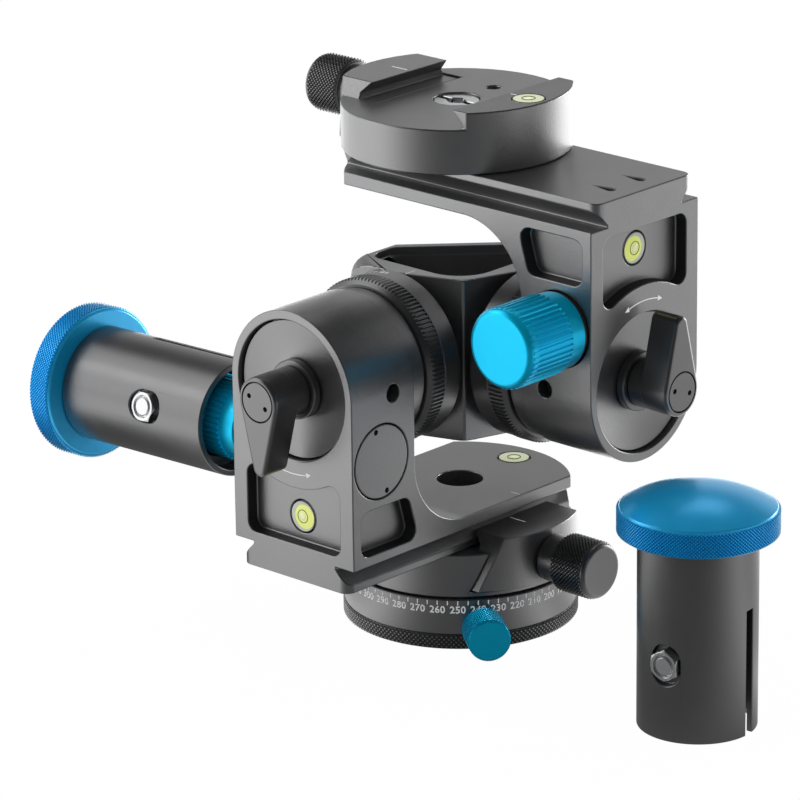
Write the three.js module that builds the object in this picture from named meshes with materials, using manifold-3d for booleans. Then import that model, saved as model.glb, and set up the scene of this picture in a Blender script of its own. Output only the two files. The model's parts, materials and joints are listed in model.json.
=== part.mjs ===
// Geared tripod head: a graduated panning base, two crossed worm gear units of one
// pattern, a corner block between them, two dovetail clamps and two cranked handles.
// Millimetres, +Z up. The origin is the centre of the base's underside, on the pan axis.
// The lower unit faces -Y and turns the corner block about Y (roll). The upper unit
// faces +X and turns on the corner block about X (tilt).

import * as THREE from 'three';
import { mergeVertices } from 'three/addons/utils/BufferGeometryUtils.js';
import Module from 'manifold-3d';

const wasm = await Module();
wasm.setup();

// Gaps and mesh fineness
const SEAT_GAP = 0.3; // between two pieces that touch
const OVERRUN = 0.8; // how far a cut or a join runs past a face
const WELD = 0.0001;
const FACET = 4.6; // longest facet on a round face
const FEWEST_SIDES = 12;
const FLAT_TURN = Math.PI / 2;
const FULL_TURN = 2 * Math.PI;

// Dovetail rail, the same on both units
const RAIL_WIDTH = 38;
const RAIL_EDGE = 2.1; // upright edge of the rail
const RAIL_FLANK = 4.2; // 45 degree flank
const RAIL_NECK = 0.66;
const RAIL_CORNER = 2.8; // rounding of the rail's outer corners in plan

// Base with the panorama dial
const BASE_RADIUS = 31.5;
const BASE_HEIGHT = 14.2;
const KNURL_HEIGHT = 4;
const KNURL_STAND = 0.35; // the knurled band stands out by this
const BASE_CHAMFER = 0.6;
const BASE_FLOOR = 3.2;
const SPIGOT_RADIUS = 13.7; // pan journal under the lower clamp
const HUB_RADIUS = 9.2; // the base's inner hub round the tripod bush
const HUB_HEIGHT = 11.5;
const BUSH_RADIUS = 6;
const BUSH_LENGTH = 10.6;
const TRIPOD_BORE_RADIUS = 4.4; // room of a 3/8 inch thread

// Pan lock
const LOCK_BEARING = -37.8; // degrees from +X
const LOCK_HEIGHT = 6.8;
const LOCK_RADIUS = 5.85;
const LOCK_STAND = 11.7; // the knob's face stands out of the base by this
const LOCK_LENGTH = 10.4;
const LOCK_SHANK_RADIUS = 2.4;
const LOCK_PAD_LENGTH = 3.4;
const LOCK_GROOVE_DEPTH = 1.2;

// Clamps: one below the lower unit, one on the upper unit
const CLAMP_RADIUS = 30.73;
const CLAMP_THICKNESS = 12.1;
const JAW_HEIGHT = 4.5;
const JAW_LIP = 1.4; // upright part of the fixed and movable jaw's inner edge
const JAW_FLOOR = 1.5; // clamp body left under the movable jaw
const JAW_FOOT_AT = 15; // inner edge of the movable jaw's foot
const JAW_FOOT_STEP = 0.5;
const JAW_HALF = 16.5; // half width of the movable jaw at the seat
const JAW_SLOPE = 0.4; // its ends lean out by this share of the height
const JAW_BULGE = 1.2; // how far the clamped jaw stands out of the disc
const JAW_SPARE = 1.5; // closing travel left inside the body
const TOP_JAW_CLOSED = 0.8; // the empty top clamp is closed further by this
const PAN_JAW_OPEN = 0.9; // the pan clamp stands open by this
const JAW_TIP = 21.1; // the fixed jaw's tips are cut off at this distance from its middle
const CLAMP_SCREW_DEPTH = 3.8; // knob axis below the seat
const CLAMP_SCREW_RADIUS = 2.5;
const CLAMP_SCREW_END = 8.6;
const CLAMP_COLLAR_RADIUS = 6.4;
const CLAMP_COLLAR_LENGTH = 5.4;
const CLAMP_KNOB_RADIUS = 7.95;
const CLAMP_KNOB_LENGTH = 11.8;
const CLAMP_KNOB_SHOULDER = 1.7; // rounding of its outer end
const KNOB_ROUNDING = 0.9;
const PIN_RADIUS = 1.5;
const PIN_SPREAD = 11; // guide pin from the clamp's middle
const PIN_FROM = 3;
const PIN_TO = 23;
const MOUNT_SCREW_RADIUS = 6.1;
const MOUNT_SCREW_HEAD = 3.2;
const MOUNT_SHANK_RADIUS = 4.4;
const MOUNT_SCREW_SINK = 0.5;
const MOUNT_SLOT = 2;
const MOUNT_SLOT_DEPTH = 1.4;
const CLAMP_HOLE_RADIUS = 2;
const CLAMP_HOLE_AT = 14.5;
const CLAMP_HOLE_DEPTH = 6;
const CLAMP_VIAL_INSET = 5.63; // vial's middle from the clamp's edge

// Worm gear unit: an L bracket with its worm, used twice
const UNIT_WIDTH = 42.76;
const FACE_AT = 64.8; // outer face from the pan axis
const UPRIGHT_DEPTH = 23.8;
const AXIS_TO_NOTCH = 45.1; // unit axis to the shoulder of the rail
const PLATE_THICKNESS = 3.5;
const PLATE_END_RADIUS = 30;
const PLATE_FILLET = 20;
const PLATE_HOLE_RADIUS = 6.28;
const PLATE_VIAL_AT = 22.1;
const COLLAR_RADIUS = 20.6; // round boss behind the upright
const COLLAR_LENGTH = 4.9;
const SLEEVE_RADIUS = 17;
const SLEEVE_LENGTH = 8.5;
const FACE_POCKET_HALF = 16.6;
const FACE_POCKET_EDGE = 42.3; // from the unit axis
const FACE_POCKET_ARC = 26.6;
const FACE_POCKET_DEPTH = 3.7;
const POCKET_CORNER = 3;
const SIDE_POCKET_DEPTH = 4;
const SIDE_POCKET_RIM = 3.1; // post left at the outer face
const SIDE_POCKET_NEAR = 29.9;
const SIDE_POCKET_FAR = 42.4;
const SIDE_POCKET_TOP_LENGTH = 18.1;
const SIDE_POCKET_SLANT = 3.7;
const SCOOP_LENGTH = 6.8;
const SCOOP_RADIUS = 1.25;
const SCOOP_SPREAD = 5.9;
const SCOOP_RIM = 5.4; // from the outer face
const SET_SCREW_RADIUS = 2.35;
const SET_SCREW_AT = 15.8; // behind the outer face
const SET_SCREW_SINK = 3;
const VIAL_RADIUS = 4.3;
const VIAL_DEPTH = 2.2;
const FACE_VIAL_FROM_AXIS = 35.6;

// Cover, hub and lock lever on the outer face
const DISH_RADIUS = 18.95;
const DISH_DEPTH = 4.3;
const COVER_RIM = 2.5; // cover thickness at its rim
const COVER_HUB = 0.8; // and by the hub
const COVER_CLEARANCE = 0.5;
const HUB_COLLAR_RADIUS = 7.95;
const HUB_COLLAR_SINK = 0.6; // collar below the outer face
const LEVER_HUB_RADIUS = 6.6;
const LEVER_TOP = 12.6; // lever above the outer face
const LEVER_ARM_THICKNESS = 9;
const LEVER_REACH = 20.4;
const LEVER_TIP_RADIUS = 2.2;
const LEVER_CAP_RADIUS = 5.3;
const LEVER_CAP_THICKNESS = 1.8;

// Worm and wheel
const WHEEL_TEETH = 40;
const WHEEL_PITCH_RADIUS = 13;
const WORM_PITCH_RADIUS = 4.45;
const TOOTH_PLAY = 0.24; // backlash taken off each tooth and thread
const ADDENDUM = 0.5;
const DEDENDUM = 0.8;
const FLANK_SLOPE = Math.tan(THREE.MathUtils.degToRad(20));
const WHEEL_WIDTH = 7;
const WORM_BEHIND_FACE = 11;
const WORM_TURNS = 5;
const THREAD_STEPS = 12; // facets in one turn of the thread
const THREAD_SINK = 0.5;
const GEAR_ROOM = 0.9; // air round the gears in the bracket
const WORM_JOURNAL_RADIUS = 3.2;
const WORM_CAP_RADIUS = 10.2;
const WORM_CAP_DEPTH = 4.2;
const CAP_PIN_HOLE_RADIUS = 0.75;
const CAP_PIN_CIRCLE = 8.6;
const CAP_PIN_BEARING = 13; // degrees from the unit's height
const CAP_PIN_DEPTH = 1.6;
const BUSH_FLANGE_STAND = 1.1;

// Blue worm knob
const KNOB_SKIRT_RADIUS = 10.2;
const KNOB_SKIRT_LENGTH = 5.2;
const FLUTED_RADIUS = 10.8;
const FLUTED_LENGTH = 16.4;
const FLUTE_COUNT = 44;
const FLUTE_DEPTH = 0.45;
const FLUTE_CREST_SHARE = 0.42;

// Axle of the corner block, in steps from the block outwards
const BLOCK_FACE = 24; // boss face from the pan axis
const AXLE_ROOT_RADIUS = 7.7;
const AXLE_ROOT_LENGTH = 6;
const AXLE_FLANGE_RADIUS = 16;
const JOURNAL_RADIUS = 10;
const BEARING_WALL = 2;
const WHEEL_SEAT_RADIUS = 7;
const SPINDLE_RADIUS = 4.6;
const SPINDLE_STAND = 7; // spindle above the outer face, inside the lever

// Knurled scale ring
const RING_RADIUS = 22.8;
const RING_CHAMFER = 1.4;

// Corner block
const BLOCK_HALF_HEIGHT = 22.25;
const BLOCK_FLAT = 17.2;
const BLOCK_CHAMFER_AT = 5.9;
const BLOCK_NOSE = 18.2;
const BLOCK_NOSE_ROUNDING = 1.2;
const BLOCK_TURNED_RADIUS = 29.1;
const BLOCK_EDGE_ROUNDING = 4.8;
const BLOCK_WINDOW_NEAR = 17.3;
const BLOCK_WINDOW_FAR = 15.5;
const BLOCK_WINDOW_CHAMFER = 7.1;
const BLOCK_WINDOW_NOSE = 10;
const BLOCK_WINDOW_CORNER = 4.5;
const BLOCK_REBATE = 0.6;
const BLOCK_REBATE_DEPTH = 2.3;

// Handles: a slit tube that clamps on a worm knob, and a domed cap
const TUBE_RADIUS = 15.57;
const TUBE_LENGTH = 51.6;
const TUBE_MOUTH_RADIUS = 13.9;
const TUBE_MOUTH_DEPTH = 6;
const TUBE_BORE_RADIUS = 11.25;
const TUBE_SLIT = 3;
const TUBE_SLIT_LENGTH = 34;
const CAP_RADIUS = 20.9;
const CAP_RIM = 7.4;
const CAP_DOME = 5.3;
const CAP_CHAMFER = 0.6;
const CAP_PLUG = 9;
const NUT_AT = 20.6; // from the mouth
const NUT_RECESS_WIDTH = 8.6;
const NUT_RECESS_HEIGHT = 11.2;
const NUT_RECESS_DEPTH = 2.4;
const NUT_ACROSS_FLATS = 7;
const NUT_THICKNESS = 2.2;
const NUT_SCREW_RADIUS = 2;
const SLIT_FROM_NUT = 91; // degrees
const MOUNTED_MOUTH_AT = 29.6; // from the pan axis
const MOUNTED_GRIP = 10; // from the mouth to the middle of its hold on the knob
const MOUNTED_DROOP = 1.5; // degrees, by its play on the knob
const MOUNTED_NUT_BEARING = 168; // degrees from +Y towards +Z
const SPARE_X = 100;
const SPARE_Y = -20.66;
const SPARE_NUT_BEARING = -83; // degrees from +X

// Heights that follow
const LOWER_CLAMP_AT = BASE_HEIGHT + SEAT_GAP;
const RAIL_HEIGHT = RAIL_EDGE + RAIL_FLANK + RAIL_NECK;
const AXIS_TO_RAIL = AXIS_TO_NOTCH + RAIL_HEIGHT;
const AXIS_HEIGHT = LOWER_CLAMP_AT + CLAMP_THICKNESS + SEAT_GAP + AXIS_TO_RAIL;
const TOP_CLAMP_AT = AXIS_HEIGHT + AXIS_TO_RAIL + SEAT_GAP;
const UPRIGHT_BACK = FACE_AT - UPRIGHT_DEPTH;
const SLEEVE_END = UPRIGHT_BACK - COLLAR_LENGTH - SLEEVE_LENGTH;
const WORM_AT = FACE_AT - WORM_BEHIND_FACE;
const WORM_TO_WHEEL = WHEEL_PITCH_RADIUS + WORM_PITCH_RADIUS;
const LOCK_FACE_AT = BASE_RADIUS + LOCK_STAND;
const CLAMP_VIAL_AT = CLAMP_RADIUS - CLAMP_VIAL_INSET;
const SET_SCREW_TIP = WHEEL_PITCH_RADIUS + ADDENDUM + SEAT_GAP;
const COVER_BACK = FACE_AT - DISH_DEPTH + SEAT_GAP;
const JAW_RISE = JAW_HEIGHT - JAW_LIP;
const JAW_EDGE = RAIL_WIDTH / 2 + RAIL_EDGE + SEAT_GAP - JAW_HEIGHT + SEAT_GAP * Math.SQRT2;

// Materials
const paint = (name, color, roughness, metalness) =>
  new THREE.MeshStandardMaterial({ name, color, roughness, metalness });
const blackAnodised = paint('black_anodised', 0x3a3a3c, 0.5, 0.6);
const darkAnodised = paint('dark_anodised', 0x1d1d1f, 0.45, 0.6);
const blueAnodised = paint('blue_anodised', 0x0a86c4, 0.35, 0.8);
const blueCap = paint('blue_cap', 0x0c5f97, 0.4, 0.8);
const steel = paint('steel', 0xb9bcc0, 0.3, 1);
const bronze = paint('bronze', 0xa07a45, 0.45, 1);
const vialYellow = paint('vial_yellow', 0xd8e04a, 0.15, 0);

// Geometry helpers

function sidesFor(radius) {
  return Math.max(FEWEST_SIDES, 4 * Math.ceil((FULL_TURN * radius) / (4 * FACET)));
}

function arc(centreX, centreY, radius, from, to) {
  const steps = Math.max(2, Math.ceil((Math.abs(to - from) * sidesFor(radius)) / FULL_TURN));
  return Array.from({ length: steps + 1 }, (_, i) => {
    const angle = from + ((to - from) * i) / steps;
    return [centreX + radius * Math.cos(angle), centreY + radius * Math.sin(angle)];
  });
}

// A corner is [x, y] or [x, y, rounding radius]
function rounded(corners) {
  return corners.flatMap(([x, y, radius = 0], i) => {
    if (radius === 0) return [[x, y]];
    const here = new THREE.Vector2(x, y);
    const before = new THREE.Vector2(...corners.at(i - 1).slice(0, 2)).sub(here).normalize();
    const after = new THREE.Vector2(...corners[(i + 1) % corners.length].slice(0, 2)).sub(here).normalize();
    const half = Math.acos(before.dot(after)) / 2;
    const middle = before.clone().add(after).normalize();
    const centre = here.clone().addScaledVector(middle, radius / Math.sin(half));
    const start = here.clone().addScaledVector(before, radius / Math.tan(half)).sub(centre).angle();
    const sweep = Math.sign(before.cross(after)) * (2 * half - Math.PI);
    return arc(centre.x, centre.y, radius, start, start + sweep);
  });
}

function prism(points, from, to, holes = []) {
  const shape = new THREE.Shape(points.map(([x, y]) => new THREE.Vector2(x, y)));
  shape.holes = holes.map((hole) => new THREE.Path(hole.map(([x, y]) => new THREE.Vector2(x, y))));
  return new THREE.ExtrudeGeometry(shape, { depth: to - from, bevelEnabled: false }).translate(0, 0, from);
}

// Points are (x, z) and the prism runs along y
function planPrism(points, from, to) {
  return prism(points, -to, -from).rotateX(FLAT_TURN);
}

// Points are (z, y) and the prism runs along x
function sidePrism(points, from, to) {
  return prism(points, -to, -from).rotateY(-FLAT_TURN);
}

// Profile points are (radius, z): anticlockwise, from axis to axis or all round a ring
function revolve(profile) {
  const widest = Math.max(...profile.map(([radius]) => radius));
  const closed = profile[0][0] > 0 ? [...profile, profile[0]] : profile;
  const points = closed.map(([radius, z]) => new THREE.Vector2(radius, z));
  return new THREE.LatheGeometry(points, sidesFor(widest)).rotateX(FLAT_TURN);
}

function rod(radius, from, to) {
  const geometry = new THREE.CylinderGeometry(radius, radius, to - from, sidesFor(radius));
  return geometry.rotateX(FLAT_TURN).translate(0, 0, (from + to) / 2);
}

const alongX = (geometry) => geometry.rotateY(FLAT_TURN);
const alongY = (geometry) => geometry.rotateX(-FLAT_TURN);

function solid(geometry) {
  const bare = geometry.clone();
  bare.deleteAttribute('normal');
  bare.deleteAttribute('uv');
  const welded = mergeVertices(bare, WELD);
  const triangles = [];
  for (let i = 0; i < welded.index.count; i += 3) {
    const [a, b, c] = welded.index.array.slice(i, i + 3);
    if (a !== b && b !== c && c !== a) triangles.push(a, b, c);
  }
  const vertProperties = new Float32Array(welded.attributes.position.array);
  const triVerts = new Uint32Array(triangles);
  return new wasm.Manifold(new wasm.Mesh({ numProp: 3, vertProperties, triVerts }));
}

function combine(operation, first, others) {
  let result = solid(first);
  for (const other of others) result = result[operation](solid(other));
  const { vertProperties, triVerts } = result.getMesh();
  const geometry = new THREE.BufferGeometry();
  geometry.setAttribute('position', new THREE.BufferAttribute(vertProperties, 3));
  geometry.setIndex(new THREE.BufferAttribute(triVerts, 1));
  return geometry;
}

const fuse = (first, ...others) => combine('add', first, others);
const carve = (first, ...others) => combine('subtract', first, others);
const common = (first, ...others) => combine('intersect', first, others);

function piece(name, geometry, material) {
  const faceted = geometry.index ? geometry.toNonIndexed() : geometry;
  faceted.computeVertexNormals();
  const mesh = new THREE.Mesh(faceted, material);
  mesh.name = name;
  return mesh;
}

function placed(group, x, y, z) {
  group.position.set(x, y, z);
  return group;
}

// Base: a dial ring with a knurled band, hollow for the pan journal

function baseGeometry() {
  const band = BASE_RADIUS + KNURL_STAND;
  const well = SPIGOT_RADIUS + SEAT_GAP;
  const bore = BUSH_RADIUS + SEAT_GAP;
  const body = revolve([
    [bore, 0],
    [band - BASE_CHAMFER, 0],
    [band, BASE_CHAMFER],
    [band, KNURL_HEIGHT],
    [BASE_RADIUS, KNURL_HEIGHT],
    [BASE_RADIUS, BASE_HEIGHT],
    [well, BASE_HEIGHT],
    [well, BASE_FLOOR],
    [HUB_RADIUS, BASE_FLOOR],
    [HUB_RADIUS, HUB_HEIGHT],
    [bore, HUB_HEIGHT],
  ]);
  const passage = alongX(rod(LOCK_SHANK_RADIUS + SEAT_GAP, SPIGOT_RADIUS - OVERRUN, BASE_RADIUS + OVERRUN));
  passage.rotateZ(THREE.MathUtils.degToRad(LOCK_BEARING)).translate(0, 0, LOCK_HEIGHT);
  return carve(body, passage);
}

function tripodBush() {
  return revolve([
    [TRIPOD_BORE_RADIUS, SEAT_GAP],
    [BUSH_RADIUS, SEAT_GAP],
    [BUSH_RADIUS, SEAT_GAP + BUSH_LENGTH],
    [TRIPOD_BORE_RADIUS, SEAT_GAP + BUSH_LENGTH],
  ]);
}

function panLock() {
  const back = LOCK_FACE_AT - LOCK_LENGTH;
  const padTip = SPIGOT_RADIUS - LOCK_GROOVE_DEPTH + SEAT_GAP;
  const padEnd = padTip + LOCK_PAD_LENGTH;
  const knob = revolve([
    [0, padEnd + SEAT_GAP],
    [LOCK_SHANK_RADIUS, padEnd + SEAT_GAP],
    [LOCK_SHANK_RADIUS, back],
    [LOCK_RADIUS - KNOB_ROUNDING, back],
    [LOCK_RADIUS, back + KNOB_ROUNDING],
    [LOCK_RADIUS, LOCK_FACE_AT - KNOB_ROUNDING],
    [LOCK_RADIUS - KNOB_ROUNDING, LOCK_FACE_AT],
    [0, LOCK_FACE_AT],
  ]);
  const pad = revolve([
    [0, padTip],
    [LOCK_SHANK_RADIUS - LOCK_GROOVE_DEPTH, padTip],
    [LOCK_SHANK_RADIUS, padTip + LOCK_GROOVE_DEPTH],
    [LOCK_SHANK_RADIUS, padEnd],
    [0, padEnd],
  ]);
  const group = new THREE.Group();
  group.add(
    piece('pan_lock_knob', alongX(knob), blueAnodised),
    piece('pan_lock_pad', alongX(pad), bronze),
  );
  group.rotation.z = THREE.MathUtils.degToRad(LOCK_BEARING);
  return placed(group, 0, 0, LOCK_HEIGHT);
}

// Clamp, in its own frame: z is 0 at its underside and the movable jaw faces +X

const JAW_TRAVEL_ROOM = JAW_SPARE + SEAT_GAP;
const clampScrewHeight = CLAMP_THICKNESS - CLAMP_SCREW_DEPTH;

// Outline of the movable jaw seen along its screw, with room added all round
function jawFront(room) {
  const spreadAt = (height) => JAW_HALF - (height - CLAMP_THICKNESS) * JAW_SLOPE + room;
  const low = JAW_FLOOR + (room > 0 ? 0 : SEAT_GAP);
  const high = CLAMP_THICKNESS + JAW_HEIGHT + room;
  return [
    [-spreadAt(low), low],
    [spreadAt(low), low],
    [spreadAt(high), high],
    [-spreadAt(high), high],
  ];
}

// Prism of a (y, z) outline along x
const frontPrism = (points, from, to) => prism(points, from, to).rotateX(FLAT_TURN).rotateZ(FLAT_TURN);

function clampBody(hasJournal) {
  const reach = CLAMP_RADIUS + OVERRUN;
  const top = CLAMP_THICKNESS + JAW_HEIGHT;
  const clearSlot = [
    [reach, CLAMP_THICKNESS],
    [reach, top + OVERRUN],
    [-JAW_EDGE, top + OVERRUN],
    [-JAW_EDGE, top],
    [-JAW_EDGE - JAW_RISE, CLAMP_THICKNESS + JAW_LIP],
    [-JAW_EDGE - JAW_RISE, CLAMP_THICKNESS],
  ];
  const tips = [-1, 1].map((side) =>
    planPrism(
      [
        [-reach, CLAMP_THICKNESS],
        [0, CLAMP_THICKNESS],
        [0, top + OVERRUN],
        [-reach, top + OVERRUN],
      ],
      Math.min(side * JAW_TIP, side * reach),
      Math.max(side * JAW_TIP, side * reach),
    ),
  );
  const cuts = [
    planPrism(clearSlot, -reach, reach),
    ...tips,
    frontPrism(jawFront(SEAT_GAP), JAW_FOOT_AT - JAW_TRAVEL_ROOM, reach),
    alongX(rod(CLAMP_SCREW_RADIUS + SEAT_GAP, CLAMP_SCREW_END - JAW_TRAVEL_ROOM, JAW_FOOT_AT))
      .translate(0, 0, clampScrewHeight),
  ];
  for (const side of [-1, 1]) {
    const hole = alongX(rod(PIN_RADIUS + SEAT_GAP, PIN_FROM - SEAT_GAP, JAW_FOOT_AT));
    cuts.push(hole.translate(0, side * PIN_SPREAD, clampScrewHeight));
  }
  let body = rod(CLAMP_RADIUS, 0, top);
  if (hasJournal) {
    const foot = BASE_FLOOR + SEAT_GAP - LOWER_CLAMP_AT;
    const groove = LOCK_HEIGHT - LOWER_CLAMP_AT;
    const journal = revolve([
      [HUB_RADIUS + SEAT_GAP, foot],
      [SPIGOT_RADIUS, foot],
      [SPIGOT_RADIUS, groove - LOCK_SHANK_RADIUS - SEAT_GAP],
      [SPIGOT_RADIUS - LOCK_GROOVE_DEPTH, groove - LOCK_GROOVE_DEPTH - SEAT_GAP],
      [SPIGOT_RADIUS - LOCK_GROOVE_DEPTH, groove + LOCK_GROOVE_DEPTH + SEAT_GAP],
      [SPIGOT_RADIUS, groove + LOCK_SHANK_RADIUS + SEAT_GAP],
      [SPIGOT_RADIUS, OVERRUN],
      [HUB_RADIUS + SEAT_GAP, OVERRUN],
    ]);
    body = fuse(body, journal);
  } else {
    const head = CLAMP_THICKNESS - MOUNT_SCREW_SINK - MOUNT_SCREW_HEAD - SEAT_GAP;
    cuts.push(
      rod(MOUNT_SHANK_RADIUS + SEAT_GAP, -OVERRUN, CLAMP_THICKNESS),
      rod(MOUNT_SCREW_RADIUS + SEAT_GAP, head, CLAMP_THICKNESS + OVERRUN),
      rod(CLAMP_HOLE_RADIUS, CLAMP_THICKNESS - CLAMP_HOLE_DEPTH, CLAMP_THICKNESS + OVERRUN)
        .translate(0, -CLAMP_HOLE_AT, 0),
      rod(VIAL_RADIUS + SEAT_GAP, top - VIAL_DEPTH - SEAT_GAP, top + OVERRUN).translate(-CLAMP_VIAL_AT, 0, 0),
    );
  }
  return carve(body, ...cuts);
}

function clampJaw() {
  const top = CLAMP_THICKNESS + JAW_HEIGHT;
  const low = JAW_FLOOR + SEAT_GAP;
  const reach = CLAMP_RADIUS + JAW_BULGE + OVERRUN;
  const profile = planPrism(
    [
      [JAW_FOOT_AT, low],
      [reach, low],
      [reach, top],
      [JAW_EDGE, top],
      [JAW_EDGE + JAW_RISE, CLAMP_THICKNESS + JAW_LIP],
      [JAW_EDGE + JAW_RISE, CLAMP_THICKNESS - JAW_FOOT_STEP],
      [JAW_FOOT_AT, CLAMP_THICKNESS - JAW_FOOT_STEP],
    ],
    -reach,
    reach,
  );
  const shell = rod(CLAMP_RADIUS, -OVERRUN, top + OVERRUN).translate(JAW_BULGE, 0, 0);
  const block = common(profile, frontPrism(jawFront(0), 0, reach + OVERRUN), shell);
  const screwHole = alongX(rod(CLAMP_SCREW_RADIUS + SEAT_GAP, 0, reach + OVERRUN));
  const pinHoles = [-1, 1].map((side) => {
    const hole = alongX(rod(PIN_RADIUS + SEAT_GAP, 0, PIN_TO + JAW_TRAVEL_ROOM));
    return hole.translate(0, side * PIN_SPREAD, clampScrewHeight);
  });
  return carve(block, screwHole.translate(0, 0, clampScrewHeight), ...pinHoles);
}

function clampKnobGroup(prefix) {
  const seat = CLAMP_RADIUS + JAW_BULGE + SEAT_GAP;
  const barrel = seat + CLAMP_COLLAR_LENGTH;
  const face = barrel + CLAMP_KNOB_LENGTH;
  const socket = CLAMP_SCREW_RADIUS + SEAT_GAP;
  const screwEnd = face - CLAMP_KNOB_LENGTH / 2;
  const knob = revolve([
    [socket, seat],
    [CLAMP_COLLAR_RADIUS, seat],
    [CLAMP_COLLAR_RADIUS, barrel],
    [CLAMP_KNOB_RADIUS, barrel],
    ...arc(
      CLAMP_KNOB_RADIUS - CLAMP_KNOB_SHOULDER, face - CLAMP_KNOB_SHOULDER, CLAMP_KNOB_SHOULDER, 0, FLAT_TURN,
    ),
    [0, face],
    [0, screwEnd + SEAT_GAP],
    [socket, screwEnd + SEAT_GAP],
  ]);
  const group = new THREE.Group();
  group.add(
    piece(`${prefix}_clamp_knob`, alongX(knob), darkAnodised),
    piece(`${prefix}_clamp_screw`, alongX(rod(CLAMP_SCREW_RADIUS, CLAMP_SCREW_END, screwEnd)), steel),
  );
  return placed(group, 0, 0, clampScrewHeight);
}

function clamp(prefix, isLower) {
  const group = new THREE.Group();
  group.add(piece(`${prefix}_clamp_body`, clampBody(isLower), blackAnodised));
  const sliding = new THREE.Group();
  sliding.add(piece(`${prefix}_clamp_jaw`, clampJaw(), blackAnodised), clampKnobGroup(prefix));
  sliding.position.x = isLower ? PAN_JAW_OPEN : -TOP_JAW_CLOSED;
  group.add(sliding);
  [['front', -1], ['rear', 1]].forEach(([place, side]) => {
    const pin = alongX(rod(PIN_RADIUS, PIN_FROM, PIN_TO));
    pin.translate(0, side * PIN_SPREAD, clampScrewHeight);
    group.add(piece(`${prefix}_clamp_${place}_pin`, pin, steel));
  });
  return group;
}

function topClamp() {
  const group = clamp('top', false);
  const headTop = CLAMP_THICKNESS - MOUNT_SCREW_SINK;
  const headBack = headTop - MOUNT_SCREW_HEAD;
  const screw = revolve([
    [0, -AXIS_TO_RAIL + AXIS_TO_NOTCH - PLATE_THICKNESS],
    [MOUNT_SHANK_RADIUS, -AXIS_TO_RAIL + AXIS_TO_NOTCH - PLATE_THICKNESS],
    [MOUNT_SHANK_RADIUS, headBack],
    [MOUNT_SCREW_RADIUS, headBack],
    [MOUNT_SCREW_RADIUS, headTop],
    [0, headTop],
  ]);
  const slot = new THREE.BoxGeometry(2 * MOUNT_SCREW_RADIUS + OVERRUN, MOUNT_SLOT, 2 * MOUNT_SLOT_DEPTH);
  const vialTop = CLAMP_THICKNESS + JAW_HEIGHT;
  group.add(
    piece('camera_mount_screw', carve(screw, slot.translate(0, 0, headTop)), steel),
    piece('top_clamp_vial', rod(VIAL_RADIUS, vialTop - VIAL_DEPTH, vialTop).translate(-CLAMP_VIAL_AT, 0, 0), vialYellow),
  );
  group.rotation.z = Math.PI;
  return placed(group, 0, 0, TOP_CLAMP_AT);
}

// Unit, in its own frame: z is the turning axis and points outwards from the pan axis,
// y points at the rail, and the worm lies along x

function bracketGeometry(hasPlateVial) {
  const half = UNIT_WIDTH / 2;
  const plateInner = AXIS_TO_NOTCH - PLATE_THICKNESS;
  const corner = Math.asin(half / PLATE_END_RADIUS);
  const endArc = arc(0, 0, PLATE_END_RADIUS, -FLAT_TURN + corner, -FLAT_TURN - corner);
  const upright = prism(
    [[half, AXIS_TO_NOTCH], ...arc(0, 0, half, 0, -Math.PI), [-half, AXIS_TO_NOTCH]],
    UPRIGHT_BACK,
    FACE_AT,
  );
  const plan = [[half, FACE_AT - OVERRUN], ...endArc, [-half, FACE_AT - OVERRUN]];
  const plate = planPrism(plan, plateInner, AXIS_TO_NOTCH);
  const fillet = sidePrism(
    [
      [UPRIGHT_BACK + OVERRUN, plateInner - PLATE_FILLET],
      ...arc(UPRIGHT_BACK - PLATE_FILLET, plateInner - PLATE_FILLET, PLATE_FILLET, 0, FLAT_TURN),
      [UPRIGHT_BACK - PLATE_FILLET, plateInner + OVERRUN],
      [UPRIGHT_BACK + OVERRUN, plateInner + OVERRUN],
    ],
    -half,
    half,
  );
  const railHalf = RAIL_WIDTH / 2;
  const neck = railHalf - RAIL_FLANK;
  const railSection = [
    [neck, AXIS_TO_NOTCH - OVERRUN],
    [neck, AXIS_TO_NOTCH + RAIL_NECK],
    [railHalf, AXIS_TO_NOTCH + RAIL_NECK + RAIL_FLANK],
    [railHalf, AXIS_TO_RAIL],
  ];
  const mirrored = railSection.map(([x, y]) => [-x, y]).reverse();
  const railCorner = Math.asin(railHalf / PLATE_END_RADIUS);
  const railPlan = rounded([
    [-railHalf, FACE_AT, RAIL_CORNER],
    [railHalf, FACE_AT, RAIL_CORNER],
    ...arc(0, 0, PLATE_END_RADIUS, -FLAT_TURN + railCorner, -FLAT_TURN - railCorner),
  ]);
  const rail = common(
    prism([...railSection, ...mirrored], -PLATE_END_RADIUS - OVERRUN, FACE_AT + OVERRUN),
    planPrism(railPlan, plateInner, AXIS_TO_RAIL + OVERRUN),
  );
  const collar = rod(COLLAR_RADIUS, UPRIGHT_BACK - COLLAR_LENGTH, UPRIGHT_BACK + OVERRUN);
  const sleeve = rod(SLEEVE_RADIUS, SLEEVE_END, UPRIGHT_BACK);
  const body = fuse(upright, plate, fillet, rail, collar, sleeve);
  return carve(body, ...bracketBores(), ...bracketPockets(), ...plateHoles(hasPlateVial));
}

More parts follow.
